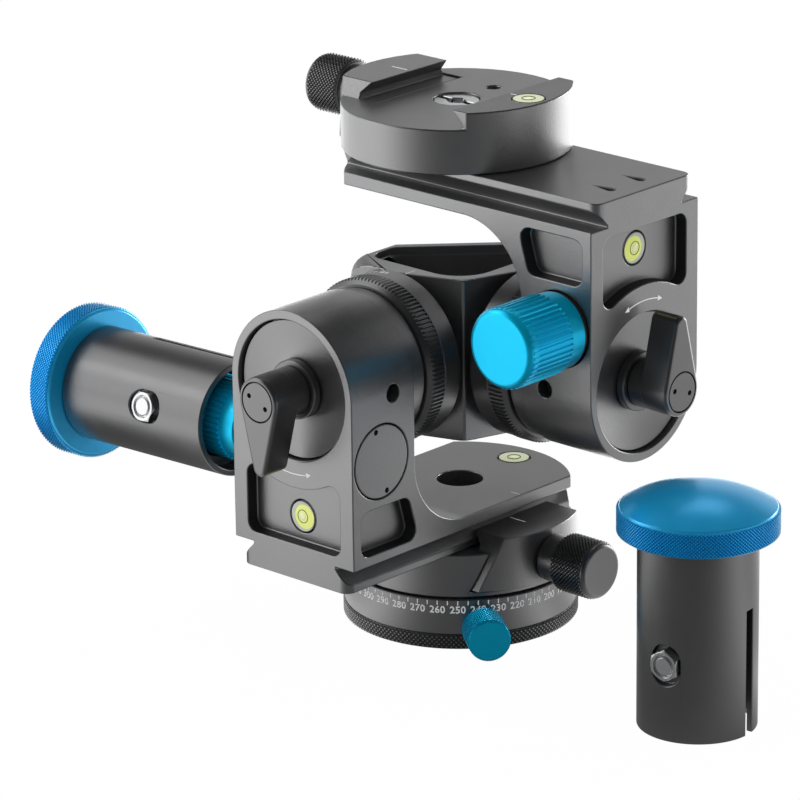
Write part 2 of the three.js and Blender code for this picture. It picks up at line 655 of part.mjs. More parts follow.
function bracketBores() {
  const half = UNIT_WIDTH / 2;
  const wheelRoom = WHEEL_PITCH_RADIUS + ADDENDUM + GEAR_ROOM;
  const wheelBack = WORM_AT - WHEEL_WIDTH / 2 - GEAR_ROOM;
  const wormRoom = WORM_PITCH_RADIUS + ADDENDUM + GEAR_ROOM;
  const dishFloor = FACE_AT - DISH_DEPTH;
  const atWorm = (geometry) => geometry.translate(0, WORM_TO_WHEEL, WORM_AT);
  const bearingBore = JOURNAL_RADIUS + BEARING_WALL + 2 * SEAT_GAP;
  return [
    rod(bearingBore, SLEEVE_END - OVERRUN, wheelBack + OVERRUN),
    rod(wheelRoom, wheelBack, dishFloor + OVERRUN),
    rod(DISH_RADIUS, dishFloor, FACE_AT + OVERRUN),
    atWorm(alongX(rod(wormRoom, -half, half))),
    atWorm(alongX(rod(WORM_CAP_RADIUS, half - WORM_CAP_DEPTH, half + OVERRUN))),
    atWorm(alongX(rod(WORM_CAP_RADIUS, -half - OVERRUN, WORM_CAP_DEPTH - half))),
    alongX(rod(SET_SCREW_RADIUS, -half - OVERRUN, SEAT_GAP - SET_SCREW_TIP)).translate(0, 0, FACE_AT - SET_SCREW_AT),
  ];
}

function bracketPockets() {
  const half = UNIT_WIDTH / 2;
  const cornerAngle = Math.acos(FACE_POCKET_HALF / FACE_POCKET_ARC);
  const face = rounded([
    [-FACE_POCKET_HALF, FACE_POCKET_EDGE, POCKET_CORNER],
    ...arc(0, 0, FACE_POCKET_ARC, Math.PI - cornerAngle, cornerAngle)
      .map(([x, y], i, all) => (i === 0 || i === all.length - 1 ? [x, y, POCKET_CORNER / 2] : [x, y])),
    [FACE_POCKET_HALF, FACE_POCKET_EDGE, POCKET_CORNER],
  ]);
  const outer = FACE_AT - SIDE_POCKET_RIM;
  const side = rounded([
    [outer, SIDE_POCKET_NEAR, POCKET_CORNER],
    [outer - SIDE_POCKET_TOP_LENGTH, SIDE_POCKET_NEAR, POCKET_CORNER],
    [outer - SIDE_POCKET_TOP_LENGTH - SIDE_POCKET_SLANT, SIDE_POCKET_FAR, POCKET_CORNER],
    [outer, SIDE_POCKET_FAR, POCKET_CORNER],
  ]);
  return [
    prism(face, FACE_AT - FACE_POCKET_DEPTH, FACE_AT + OVERRUN),
    sidePrism(side, half - SIDE_POCKET_DEPTH, half + OVERRUN),
    sidePrism(side, -half - OVERRUN, SIDE_POCKET_DEPTH - half),
    vialSeat().translate(0, FACE_VIAL_FROM_AXIS, FACE_AT - FACE_POCKET_DEPTH),
  ];
}

// Room for a vial whose top is flush at z = 0
const vialSeat = () => rod(VIAL_RADIUS + SEAT_GAP, -VIAL_DEPTH - SEAT_GAP, OVERRUN);

function plateHoles(hasPlateVial) {
  const plateInner = AXIS_TO_NOTCH - PLATE_THICKNESS;
  const holes = [alongY(rod(PLATE_HOLE_RADIUS, plateInner - OVERRUN, AXIS_TO_RAIL + OVERRUN))];
  for (const side of [-1, 1]) {
    const far = FACE_AT - SCOOP_RIM - SCOOP_RADIUS;
    const near = far + SCOOP_RADIUS - SCOOP_LENGTH;
    const drop = [[side * SCOOP_SPREAD, near], ...arc(side * SCOOP_SPREAD, far, SCOOP_RADIUS, 0, Math.PI)];
    holes.push(planPrism(drop, AXIS_TO_RAIL - SCOOP_RADIUS, AXIS_TO_RAIL + OVERRUN));
  }
  if (hasPlateVial) {
    const seat = alongY(vialSeat().rotateX(Math.PI));
    holes.push(seat.translate(0, plateInner, -PLATE_VIAL_AT));
  }
  return holes;
}

function scaleRing() {
  const inner = SLEEVE_RADIUS + SEAT_GAP;
  const back = BLOCK_FACE + SEAT_GAP;
  const front = UPRIGHT_BACK - COLLAR_LENGTH - SEAT_GAP;
  return revolve([
    [inner, back],
    [RING_RADIUS, back],
    [RING_RADIUS, front - RING_CHAMFER],
    [RING_RADIUS - RING_CHAMFER, front],
    [inner, front],
  ]);
}

function coverDisc() {
  const bore = SPINDLE_RADIUS + SEAT_GAP;
  const seat = HUB_COLLAR_RADIUS + SEAT_GAP;
  return revolve([
    [bore, COVER_BACK],
    [DISH_RADIUS - COVER_CLEARANCE, COVER_BACK],
    [DISH_RADIUS - COVER_CLEARANCE, COVER_BACK + COVER_RIM],
    [seat, COVER_BACK + COVER_HUB],
    [bore, COVER_BACK + COVER_HUB],
  ]);
}

function ringOf(inner, outer, from, to) {
  return revolve([[inner, from], [outer, from], [outer, to], [inner, to]]);
}

function leverGeometry() {
  const base = FACE_AT - HUB_COLLAR_SINK + SEAT_GAP;
  const top = FACE_AT + LEVER_TOP;
  const tip = LEVER_REACH - LEVER_TIP_RADIUS;
  const lean = Math.asin((LEVER_HUB_RADIUS - LEVER_TIP_RADIUS) / tip);
  const outline = [
    ...arc(0, 0, LEVER_HUB_RADIUS, Math.PI - lean, FULL_TURN + lean),
    ...arc(0, tip, LEVER_TIP_RADIUS, lean, Math.PI - lean),
  ];
  const arm = prism(outline, top - LEVER_ARM_THICKNESS, top);
  const hub = rod(LEVER_HUB_RADIUS, base, top - LEVER_ARM_THICKNESS + OVERRUN);
  const bore = rod(SPINDLE_RADIUS + SEAT_GAP, base - OVERRUN, FACE_AT + SPINDLE_STAND + SEAT_GAP);
  const capSeat = rod(LEVER_CAP_RADIUS + SEAT_GAP, top - LEVER_CAP_THICKNESS - SEAT_GAP, top + OVERRUN);
  return carve(fuse(arm, hub), bore, capSeat);
}

// Worm along z: a thread ridge swept round a core, with journals at both ends

const WORM_LEAD = (FULL_TURN * WHEEL_PITCH_RADIUS) / WHEEL_TEETH;
const pitchHalf = (WORM_LEAD / 2 - TOOTH_PLAY) / 2;

function threadRidge() {
  const inner = WORM_PITCH_RADIUS - DEDENDUM - THREAD_SINK;
  const outer = WORM_PITCH_RADIUS + ADDENDUM;
  const section = [
    [inner, -(pitchHalf + (DEDENDUM + THREAD_SINK) * FLANK_SLOPE)],
    [outer, -(pitchHalf - ADDENDUM * FLANK_SLOPE)],
    [outer, pitchHalf - ADDENDUM * FLANK_SLOPE],
    [inner, pitchHalf + (DEDENDUM + THREAD_SINK) * FLANK_SLOPE],
  ];
  const steps = WORM_TURNS * THREAD_STEPS;
  const positions = [];
  for (let i = 0; i <= steps; i += 1) {
    const turns = i / THREAD_STEPS - WORM_TURNS / 2;
    for (const [radius, offset] of section) {
      const angle = FULL_TURN * turns;
      positions.push(radius * Math.cos(angle), radius * Math.sin(angle), WORM_LEAD * turns + offset);
    }
  }
  const corners = section.length;
  const index = [0, 1, 2, 0, 2, 3];
  for (let i = 0; i < steps; i += 1) {
    for (let j = 0; j < corners; j += 1) {
      const a = i * corners + j;
      const b = i * corners + ((j + 1) % corners);
      index.push(a, a + corners, b, b, a + corners, b + corners);
    }
  }
  const last = steps * corners;
  index.push(last, last + 2, last + 1, last, last + 3, last + 2);
  const geometry = new THREE.BufferGeometry();
  geometry.setAttribute('position', new THREE.Float32BufferAttribute(positions, 3));
  geometry.setIndex(index);
  return geometry;
}

function wormGeometry() {
  const core = WORM_PITCH_RADIUS - DEDENDUM;
  const coreHalf = (WORM_TURNS * WORM_LEAD) / 2 + WORM_LEAD;
  const knobEnd = UNIT_WIDTH / 2 + BUSH_FLANGE_STAND + KNOB_SKIRT_LENGTH + FLUTED_LENGTH / 2;
  const plainEnd = -UNIT_WIDTH / 2 + WORM_CAP_DEPTH / 2;
  return fuse(rod(core, -coreHalf, coreHalf), rod(WORM_JOURNAL_RADIUS, plainEnd, knobEnd), threadRidge());
}

function wheelGeometry() {
  const toothAt = [
    [WHEEL_PITCH_RADIUS - DEDENDUM, -(pitchHalf + DEDENDUM * FLANK_SLOPE)],
    [WHEEL_PITCH_RADIUS + ADDENDUM, -(pitchHalf - ADDENDUM * FLANK_SLOPE)],
    [WHEEL_PITCH_RADIUS + ADDENDUM, pitchHalf - ADDENDUM * FLANK_SLOPE],
    [WHEEL_PITCH_RADIUS - DEDENDUM, pitchHalf + DEDENDUM * FLANK_SLOPE],
  ];
  const outline = Array.from({ length: WHEEL_TEETH }, (_, tooth) => {
    const middle = FLAT_TURN + (FULL_TURN * (tooth + 1 / 2)) / WHEEL_TEETH;
    return toothAt.map(([radius, offset]) => {
      const angle = middle + offset / radius;
      return [radius * Math.cos(angle), radius * Math.sin(angle)];
    });
  }).flat();
  const bore = arc(0, 0, WHEEL_SEAT_RADIUS + SEAT_GAP, 0, FULL_TURN).slice(1);
  const geometry = prism(outline, -WHEEL_WIDTH / 2, WHEEL_WIDTH / 2, [bore]);
  const twist = WORM_LEAD / (FULL_TURN * WORM_PITCH_RADIUS) / WHEEL_PITCH_RADIUS;
  const position = geometry.attributes.position;
  const point = new THREE.Vector3();
  const axis = new THREE.Vector3(0, 0, 1);
  for (let i = 0; i < position.count; i += 1) {
    point.fromBufferAttribute(position, i);
    point.applyAxisAngle(axis, twist * point.z);
    position.setXYZ(i, point.x, point.y, point.z);
  }
  return geometry.translate(0, 0, WORM_AT);
}

function axleGeometry() {
  const flange = BLOCK_FACE + SEAT_GAP;
  const wheelSeat = WORM_AT - WHEEL_WIDTH / 2 - SEAT_GAP;
  const wheelFront = WORM_AT + WHEEL_WIDTH / 2 + SEAT_GAP;
  const end = FACE_AT + SPINDLE_STAND;
  return revolve([
    [0, BLOCK_FACE - AXLE_ROOT_LENGTH],
    [AXLE_ROOT_RADIUS, BLOCK_FACE - AXLE_ROOT_LENGTH],
    [AXLE_ROOT_RADIUS, flange],
    [AXLE_FLANGE_RADIUS, flange],
    [AXLE_FLANGE_RADIUS, SLEEVE_END - SEAT_GAP],
    [JOURNAL_RADIUS, SLEEVE_END - SEAT_GAP],
    [JOURNAL_RADIUS, wheelSeat],
    [WHEEL_SEAT_RADIUS, wheelSeat],
    [WHEEL_SEAT_RADIUS, wheelFront],
    [SPINDLE_RADIUS, wheelFront],
    [SPINDLE_RADIUS, end],
    [0, end],
  ]);
}

function axleBearing() {
  const wheelBack = WORM_AT - WHEEL_WIDTH / 2 - GEAR_ROOM;
  const inner = JOURNAL_RADIUS + SEAT_GAP;
  return ringOf(inner, inner + BEARING_WALL, SLEEVE_END, wheelBack);
}

function wormCap() {
  const half = UNIT_WIDTH / 2;
  const radius = WORM_CAP_RADIUS - SEAT_GAP;
  const back = half - WORM_CAP_DEPTH + SEAT_GAP;
  const socketDepth = back + WORM_CAP_DEPTH / 2 + SEAT_GAP;
  const disc = carve(rod(radius, back, half), rod(WORM_JOURNAL_RADIUS + SEAT_GAP, back - OVERRUN, socketDepth));
  const holes = [1, -1].map((side) => {
    const angle = THREE.MathUtils.degToRad(CAP_PIN_BEARING) + side * FLAT_TURN;
    const hole = rod(CAP_PIN_HOLE_RADIUS, half - CAP_PIN_DEPTH, half + OVERRUN);
    return hole.translate(CAP_PIN_CIRCLE * Math.cos(angle), CAP_PIN_CIRCLE * Math.sin(angle), 0);
  });
  return alongX(carve(disc, ...holes));
}

function wormBush() {
  const half = UNIT_WIDTH / 2;
  const inner = WORM_JOURNAL_RADIUS + SEAT_GAP;
  const outer = WORM_CAP_RADIUS - SEAT_GAP;
  const back = half - WORM_CAP_DEPTH + SEAT_GAP;
  return alongX(ringOf(inner, outer, back, half + BUSH_FLANGE_STAND - SEAT_GAP));
}

// Knob with straight flutes, along z from the bush outwards
function wormKnob() {
  const skirt = UNIT_WIDTH / 2 + BUSH_FLANGE_STAND;
  const shoulder = skirt + KNOB_SKIRT_LENGTH;
  const face = shoulder + FLUTED_LENGTH;
  const pitch = FULL_TURN / FLUTE_COUNT;
  const crest = (pitch * FLUTE_CREST_SHARE) / 2;
  const valley = FLUTED_RADIUS - FLUTE_DEPTH;
  const outline = Array.from({ length: FLUTE_COUNT }, (_, i) =>
    [[FLUTED_RADIUS, -crest], [FLUTED_RADIUS, crest], [valley, pitch / 2]].map(([radius, turn]) => {
      const angle = i * pitch + turn;
      return [radius * Math.cos(angle), radius * Math.sin(angle)];
    }),
  ).flat();
  const envelope = revolve([
    [0, shoulder - OVERRUN],
    [FLUTED_RADIUS + OVERRUN, shoulder - OVERRUN],
    [FLUTED_RADIUS + OVERRUN, face - KNOB_ROUNDING - OVERRUN],
    [FLUTED_RADIUS - KNOB_ROUNDING, face],
    [0, face],
  ]);
  const barrel = common(prism(outline, shoulder, face), envelope);
  const body = fuse(barrel, rod(KNOB_SKIRT_RADIUS, skirt, shoulder + OVERRUN));
  const bore = rod(WORM_JOURNAL_RADIUS + SEAT_GAP, skirt - OVERRUN, shoulder + FLUTED_LENGTH / 2 + SEAT_GAP);
  return carve(body, bore);
}

// Handle, in its own frame: z is 0 at the mouth of the tube, and the nut faces +X

function handle(prefix) {
  const bore = ringOf(TUBE_BORE_RADIUS, TUBE_RADIUS, 0, TUBE_LENGTH);
  const nutFloor = TUBE_RADIUS - NUT_RECESS_DEPTH;
  const end = NUT_RECESS_HEIGHT / 2 - NUT_RECESS_WIDTH / 2;
  const recess = [
    ...arc(0, end, NUT_RECESS_WIDTH / 2, 0, Math.PI),
    ...arc(0, -end, NUT_RECESS_WIDTH / 2, Math.PI, FULL_TURN),
  ];
  const slit = new THREE.BoxGeometry(2 * TUBE_RADIUS, TUBE_SLIT, 2 * TUBE_SLIT_LENGTH);
  slit.translate(TUBE_RADIUS, 0, 0).rotateZ(THREE.MathUtils.degToRad(SLIT_FROM_NUT));
  const tube = carve(
    bore,
    rod(TUBE_MOUTH_RADIUS, -OVERRUN, TUBE_MOUTH_DEPTH),
    frontPrism(recess, nutFloor, TUBE_RADIUS + OVERRUN).translate(0, 0, NUT_AT),
    alongX(rod(NUT_SCREW_RADIUS + SEAT_GAP, 0, TUBE_RADIUS)).translate(0, 0, NUT_AT),
    slit,
  );
  const corner = NUT_ACROSS_FLATS / Math.sqrt(3);
  const hexagon = Array.from({ length: 6 }, (_, i) => {
    const angle = (FULL_TURN * i) / 6;
    return [corner * Math.cos(angle), corner * Math.sin(angle)];
  });
  const nutFrom = nutFloor + SEAT_GAP;
  const nutHole = arc(0, 0, NUT_SCREW_RADIUS + SEAT_GAP, 0, FULL_TURN).slice(1);
  const nut = alongX(prism(hexagon, nutFrom, nutFrom + NUT_THICKNESS, [nutHole]));
  const screw = alongX(rod(NUT_SCREW_RADIUS, TUBE_BORE_RADIUS, nutFrom + NUT_THICKNESS));
  const capFrom = TUBE_LENGTH + SEAT_GAP;
  const plug = TUBE_BORE_RADIUS - SEAT_GAP;
  const rimTop = capFrom + CAP_RIM;
  const chord = CAP_RADIUS - CAP_CHAMFER;
  const domeRadius = (chord * chord + CAP_DOME * CAP_DOME) / (2 * CAP_DOME);
  const domeSweep = Math.asin(chord / domeRadius);
  const dome = arc(0, rimTop + CAP_DOME - domeRadius, domeRadius, FLAT_TURN - domeSweep, FLAT_TURN);
  const cap = revolve([
    [0, capFrom - CAP_PLUG],
    [plug, capFrom - CAP_PLUG],
    [plug, capFrom],
    [CAP_RADIUS - CAP_CHAMFER, capFrom],
    [CAP_RADIUS, capFrom + CAP_CHAMFER],
    [CAP_RADIUS, rimTop - CAP_CHAMFER],
    ...dome.slice(0, -1),
    [0, rimTop + CAP_DOME],
  ]);
  const group = new THREE.Group();
  group.add(
    piece(`${prefix}_tube`, tube, darkAnodised),
    piece(`${prefix}_cap`, cap, blueCap),
    piece(`${prefix}_lock_nut`, nut.translate(0, 0, NUT_AT), steel),
    piece(`${prefix}_lock_screw`, screw.translate(0, 0, NUT_AT), steel),
  );
  return group;
}

// Everything on one unit's bracket, with its knob on the side given
function unit(prefix, knobSide, hasPlateVial) {
  const group = new THREE.Group();
  const atWorm = new THREE.Group();
  placed(atWorm, 0, WORM_TO_WHEEL, WORM_AT);
  atWorm.rotation.y = knobSide > 0 ? 0 : Math.PI;
  const capGroup = new THREE.Group();
  capGroup.rotation.y = Math.PI;
  capGroup.add(piece(`${prefix}_worm_cap`, wormCap(), blackAnodised));
  atWorm.add(
    piece(`${prefix}_worm`, alongX(wormGeometry().rotateZ(-FLAT_TURN)), steel),
    piece(`${prefix}_worm_knob`, alongX(wormKnob()), blueAnodised),
    piece(`${prefix}_worm_bush`, wormBush(), darkAnodised),
    capGroup,
  );
  const pocketFloor = FACE_AT - FACE_POCKET_DEPTH;
  const setScrew = alongX(rod(SET_SCREW_RADIUS - SEAT_GAP, SET_SCREW_SINK - UNIT_WIDTH / 2, -SET_SCREW_TIP));
  const lever = new THREE.Group();
  const leverTop = FACE_AT + LEVER_TOP;
  lever.add(
    piece(`${prefix}_lock_lever`, leverGeometry(), darkAnodised),
    piece(`${prefix}_lever_cap`, rod(LEVER_CAP_RADIUS, leverTop - LEVER_CAP_THICKNESS, leverTop), darkAnodised),
  );
  group.add(
    piece(`${prefix}_bracket`, bracketGeometry(hasPlateVial), blackAnodised),
    piece(`${prefix}_scale_ring`, scaleRing(), darkAnodised),
    piece(`${prefix}_axle_bearing`, axleBearing(), bronze),
    piece(`${prefix}_cover_disc`, coverDisc(), blackAnodised),
    piece(`${prefix}_hub_collar`, hubCollar(), darkAnodised),
    piece(`${prefix}_set_screw`, setScrew.translate(0, 0, FACE_AT - SET_SCREW_AT), steel),
    piece(
      `${prefix}_face_vial`,
      rod(VIAL_RADIUS, -VIAL_DEPTH, 0).translate(0, FACE_VIAL_FROM_AXIS, pocketFloor),
      vialYellow,
    ),
    lever,
    atWorm,
  );
  if (hasPlateVial) {
    const vial = alongY(rod(VIAL_RADIUS, 0, VIAL_DEPTH));
    vial.translate(0, AXIS_TO_NOTCH - PLATE_THICKNESS, -PLATE_VIAL_AT);
    group.add(piece(`${prefix}_plate_vial`, vial, vialYellow));
  }
  return group;
}

function hubCollar() {
  const from = COVER_BACK + COVER_HUB + SEAT_GAP;
  return ringOf(SPINDLE_RADIUS + SEAT_GAP, HUB_COLLAR_RADIUS, from, FACE_AT - HUB_COLLAR_SINK);
}

// Corner block, in its own frame: the two unit axes cross at the origin

function cornerBlock() {
  const nose = BLOCK_NOSE;
  const outline = rounded([
    [nose, -nose, BLOCK_NOSE_ROUNDING],
    [BLOCK_FACE, 0],
    [BLOCK_FACE, BLOCK_FLAT],
    [BLOCK_CHAMFER_AT, BLOCK_FLAT],
    [-BLOCK_FLAT, -BLOCK_CHAMFER_AT],
    [-BLOCK_FLAT, -BLOCK_FACE],
    [0, -BLOCK_FACE],
  ]);
  const windowAt = (spare) => {
    const near = BLOCK_WINDOW_NEAR + spare;
    const far = BLOCK_WINDOW_FAR + spare;
    const chamfer = BLOCK_WINDOW_CHAMFER + spare;
    return rounded([
      [near, -near, BLOCK_WINDOW_NOSE],
      [near, far, BLOCK_WINDOW_CORNER],
      [far - chamfer, far, BLOCK_WINDOW_CORNER],
      [-far, chamfer - far, BLOCK_WINDOW_CORNER],
      [-far, -near, BLOCK_WINDOW_CORNER],
    ]);
  };
  const high = BLOCK_HALF_HEIGHT;
  const edge = BLOCK_TURNED_RADIUS - BLOCK_EDGE_ROUNDING;
  const turned = revolve([
    [0, -high],
    ...arc(edge, BLOCK_EDGE_ROUNDING - high, BLOCK_EDGE_ROUNDING, -FLAT_TURN, 0),
    ...arc(edge, high - BLOCK_EDGE_ROUNDING, BLOCK_EDGE_ROUNDING, 0, FLAT_TURN),
    [0, high],
  ]);
  const boss = () => rod(AXLE_FLANGE_RADIUS, BLOCK_WINDOW_NEAR + OVERRUN, BLOCK_FACE);
  const hole = () => rod(AXLE_ROOT_RADIUS + SEAT_GAP, BLOCK_FLAT - OVERRUN, BLOCK_FACE + OVERRUN);
  const towardsMinusY = (geometry) => geometry.rotateX(FLAT_TURN);
  const block = fuse(common(prism(outline, -high, high), turned), alongX(boss()), towardsMinusY(boss()));
  const rebate = windowAt(BLOCK_REBATE);
  return carve(
    block,
    prism(windowAt(0), -high - OVERRUN, high + OVERRUN),
    prism(rebate, high - BLOCK_REBATE_DEPTH, high + OVERRUN),
    prism(rebate, -high - OVERRUN, BLOCK_REBATE_DEPTH - high),
    alongX(hole()),
    towardsMinusY(hole()),
  );
}

function axleGroup(prefix) {
  const group = new THREE.Group();
  group.add(
    piece(`${prefix}_axle`, axleGeometry(), steel),
    piece(`${prefix}_worm_wheel`, wheelGeometry(), bronze),
  );
  return group;
}

// Unit frames: the lower unit has its rail below and faces -Y, the upper has it above and faces +X
const lowerFrame = new THREE.Matrix4().makeBasis(
  new THREE.Vector3(-1, 0, 0),
  new THREE.Vector3(0, 0, -1),
  new THREE.Vector3(0, -1, 0),
);
const upperFrame = new THREE.Matrix4().makeBasis(
  new THREE.Vector3(0, 1, 0),
  new THREE.Vector3(0, 0, 1),
  new THREE.Vector3(1, 0, 0),
);

function inFrame(frame, ...groups) {
  const group = new THREE.Group();
  group.quaternion.setFromRotationMatrix(frame);
  group.add(...groups);
  return placed(group, 0, 0, AXIS_HEIGHT);
}

function mountedHandle() {
  const group = handle('mounted_handle');
  const outwards = new THREE.Vector3(-1, 0, 0);
  const bearing = THREE.MathUtils.degToRad(MOUNTED_NUT_BEARING);
  const nutWay = new THREE.Vector3(0, Math.cos(bearing), Math.sin(bearing));
  const third = outwards.clone().cross(nutWay);
  const droop = THREE.MathUtils.degToRad(MOUNTED_DROOP);
  const lean = new THREE.Quaternion().setFromAxisAngle(new THREE.Vector3(0, 1, 0), -droop);
  group.quaternion.setFromRotationMatrix(new THREE.Matrix4().makeBasis(nutWay, third, outwards)).premultiply(lean);
  const mouth = new THREE.Vector3(MOUNTED_GRIP, 0, 0).applyQuaternion(lean);
  const height = AXIS_HEIGHT - WORM_TO_WHEEL + mouth.z;
  return placed(group, mouth.x - MOUNTED_GRIP - MOUNTED_MOUTH_AT, -WORM_AT, height);
}

function spareHandle() {
  const group = handle('spare_handle');
  group.rotation.z = THREE.MathUtils.degToRad(SPARE_NUT_BEARING);
  return placed(group, SPARE_X, SPARE_Y, 0);
}

const head = new THREE.Group();
const lowerClamp = clamp('pan', true);
lowerClamp.position.z = LOWER_CLAMP_AT;
const block = new THREE.Group();
block.add(piece('corner_block', cornerBlock(), blackAnodised));
block.position.z = AXIS_HEIGHT;
head.add(
  piece('dial_base', baseGeometry(), blackAnodised),
  piece('tripod_bush', tripodBush(), steel),
  panLock(),
  lowerClamp,
  inFrame(lowerFrame, unit('lower', 1, true), axleGroup('lower')),
  block,
  inFrame(upperFrame, unit('upper', -1, false), axleGroup('upper')),
  topClamp(),
  mountedHandle(),
  spareHandle(),
);

export default head;
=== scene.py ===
# %% [markdown]
# # A geared tripod head
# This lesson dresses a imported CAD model: a tripod head with two worm-geared axes, a panning base
# with a dial, two dovetail clamps and two crank handles. The CAD model gives every size and
# place. Blender gives it rounded edges, knurls, engraved marks, finishes, light and a camera.
# All lengths are written in millimetres and turned into metres where a piece is made.

import json
import math

import bmesh
import bpy
from mathutils import Matrix, Vector


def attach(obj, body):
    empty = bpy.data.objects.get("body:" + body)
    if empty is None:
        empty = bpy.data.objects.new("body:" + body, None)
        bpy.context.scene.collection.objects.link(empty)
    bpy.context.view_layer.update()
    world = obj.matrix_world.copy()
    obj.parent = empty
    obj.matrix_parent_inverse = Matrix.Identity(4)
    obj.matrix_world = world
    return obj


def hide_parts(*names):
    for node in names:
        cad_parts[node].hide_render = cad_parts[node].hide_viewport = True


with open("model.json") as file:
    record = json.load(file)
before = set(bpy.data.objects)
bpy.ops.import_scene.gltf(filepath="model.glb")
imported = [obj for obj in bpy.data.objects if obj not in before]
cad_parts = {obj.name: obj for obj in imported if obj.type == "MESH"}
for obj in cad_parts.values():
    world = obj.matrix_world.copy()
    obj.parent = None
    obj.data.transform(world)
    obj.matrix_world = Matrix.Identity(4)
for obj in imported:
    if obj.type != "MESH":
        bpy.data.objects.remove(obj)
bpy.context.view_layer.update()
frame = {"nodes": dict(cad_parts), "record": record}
MM = 0.001

# %% [markdown]
# The camera was solved from straight edges and circles of the photograph: a long lens, about
# 1.4 m away, a little above the object and to its right. A long lens hardly narrows the far side.
# It could be aimed with a Track To constraint, but a matrix from its three axes is exact and
# stays still when another view moves the camera.

# %% Camera
CAMERA_AZIMUTH = math.radians(42.793)
CAMERA_ELEVATION = math.radians(18.908)
CAMERA_ROLL = math.radians(-0.688)
CAMERA_DISTANCE = 1382.46 * MM
CAMERA_TARGET = Vector((-11.65, -10.79, 59.76)) * MM
SENSOR_WIDTH = 36
FOCAL_LENGTH = 231.93

right = Vector((math.cos(CAMERA_AZIMUTH), math.sin(CAMERA_AZIMUTH), 0))
back = Vector((
    math.sin(CAMERA_AZIMUTH) * math.cos(CAMERA_ELEVATION),
    -math.cos(CAMERA_AZIMUTH) * math.cos(CAMERA_ELEVATION),
    math.sin(CAMERA_ELEVATION),
))
up = back.cross(right)
rolled_right = right * math.cos(CAMERA_ROLL) + up * math.sin(CAMERA_ROLL)
rolled_up = back.cross(rolled_right)
camera_axes = Matrix((rolled_right, rolled_up, back)).transposed().to_4x4()

bpy.ops.object.camera_add()
camera = bpy.context.object
camera.name = "camera"
camera.matrix_world = Matrix.Translation(CAMERA_TARGET + back * CAMERA_DISTANCE) @ camera_axes
camera.data.sensor_width = SENSOR_WIDTH
camera.data.lens = FOCAL_LENGTH
camera.data.clip_end = 50
bpy.context.scene.camera = camera
print("camera at", [round(c, 3) for c in camera.matrix_world.translation])

# %% [markdown]
# The photograph has a white background, and the dark metal mirrors the studio: a bright wall on
# the left, less light from above, and a darker zone round the camera. A picture of a studio could
# light the world, but a few nodes that read the direction do it without an image. The camera
# itself sees plain white, and matt paint gets the same soft light from everywhere.

# %% World
scene = bpy.context.scene
scene.view_settings.view_transform = "Standard"


def node_of(tree, kind, **values):
    """Adds a node and sets its properties."""
    added = tree.nodes.new("ShaderNode" + kind)
    for key, value in values.items():
        setattr(added, key, value)
    return added


def ramp_between(tree, source, low, high, to_low, to_high):
    """A smooth step from one value to another while the source goes from low to high."""
    ramp = node_of(tree, "MapRange", interpolation_type="SMOOTHSTEP")
    limits = {"From Min": low, "From Max": high, "To Min": to_low, "To Max": to_high}
    for socket, value in limits.items():
        ramp.inputs[socket].default_value = value
    tree.links.new(source, ramp.inputs["Value"])
    return ramp.outputs["Result"]


def facing(tree, source, direction):
    """The dot product of a direction in the scene with a fixed one."""
    dot = node_of(tree, "VectorMath", operation="DOT_PRODUCT")
    tree.links.new(source, dot.inputs[0])
    dot.inputs[1].default_value = direction
    return dot.outputs["Value"]


def product(tree, first, *others):
    """Multiplies sockets."""
    for other in others:
        times = node_of(tree, "Math", operation="MULTIPLY")
        tree.links.new(first, times.inputs[0])
        tree.links.new(other, times.inputs[1])
        first = times.outputs[0]
    return first


def seen_directly(tree, path):
    """1 for what the camera sees, straight or through glass, and 0 for mirrored and soft light."""
    seen = node_of(tree, "Math", operation="MAXIMUM")
    tree.links.new(path.outputs["Is Camera Ray"], seen.inputs[0])
    tree.links.new(path.outputs["Is Transmission Ray"], seen.inputs[1])
    return seen.outputs[0]


TO_CAMERA = Vector((back.x, back.y, 0)).normalized()
TO_LEFT_WALL = (-0.643, 0.766, 0)
world = bpy.data.worlds.new("studio")
scene.world = world
world.use_nodes = True
tree = world.node_tree
background = tree.nodes["Background"]
background.inputs["Color"].default_value = (1, 1, 1, 1)
way = node_of(tree, "TexCoord").outputs["Generated"]
low_light = ramp_between(tree, facing(tree, way, (0, 0, 1)), 0.30, 0.62, 0.55, 0.06)
no_card = ramp_between(tree, facing(tree, way, TO_CAMERA), 0.55, 0.9, 1.0, 0.16)
left_side = ramp_between(tree, facing(tree, way, TO_LEFT_WALL), 0.05, 0.75, 0.16, 1.15)
path = node_of(tree, "LightPath")
room = node_of(tree, "Mix")
tree.links.new(path.outputs["Is Glossy Ray"], room.inputs["Factor"])
room.inputs["A"].default_value = 1.0
tree.links.new(product(tree, low_light, no_card, left_side), room.inputs["B"])
strength = node_of(tree, "Mix")
tree.links.new(seen_directly(tree, path), strength.inputs["Factor"])
tree.links.new(room.outputs["Result"], strength.inputs["A"])
strength.inputs["B"].default_value = 1.0
tree.links.new(strength.outputs["Result"], background.inputs["Strength"])
print("world nodes:", len(tree.nodes))

# %% [markdown]
# Soft boxes are large area lamps. The photograph's brightest faces look to the left, so two stand
# there, one high and one low. A faint one hangs overhead, and a small one behind lights the rims.
# A sun or a spot lamp would draw hard shadows and small highlights, which the photograph doesn't
# have.

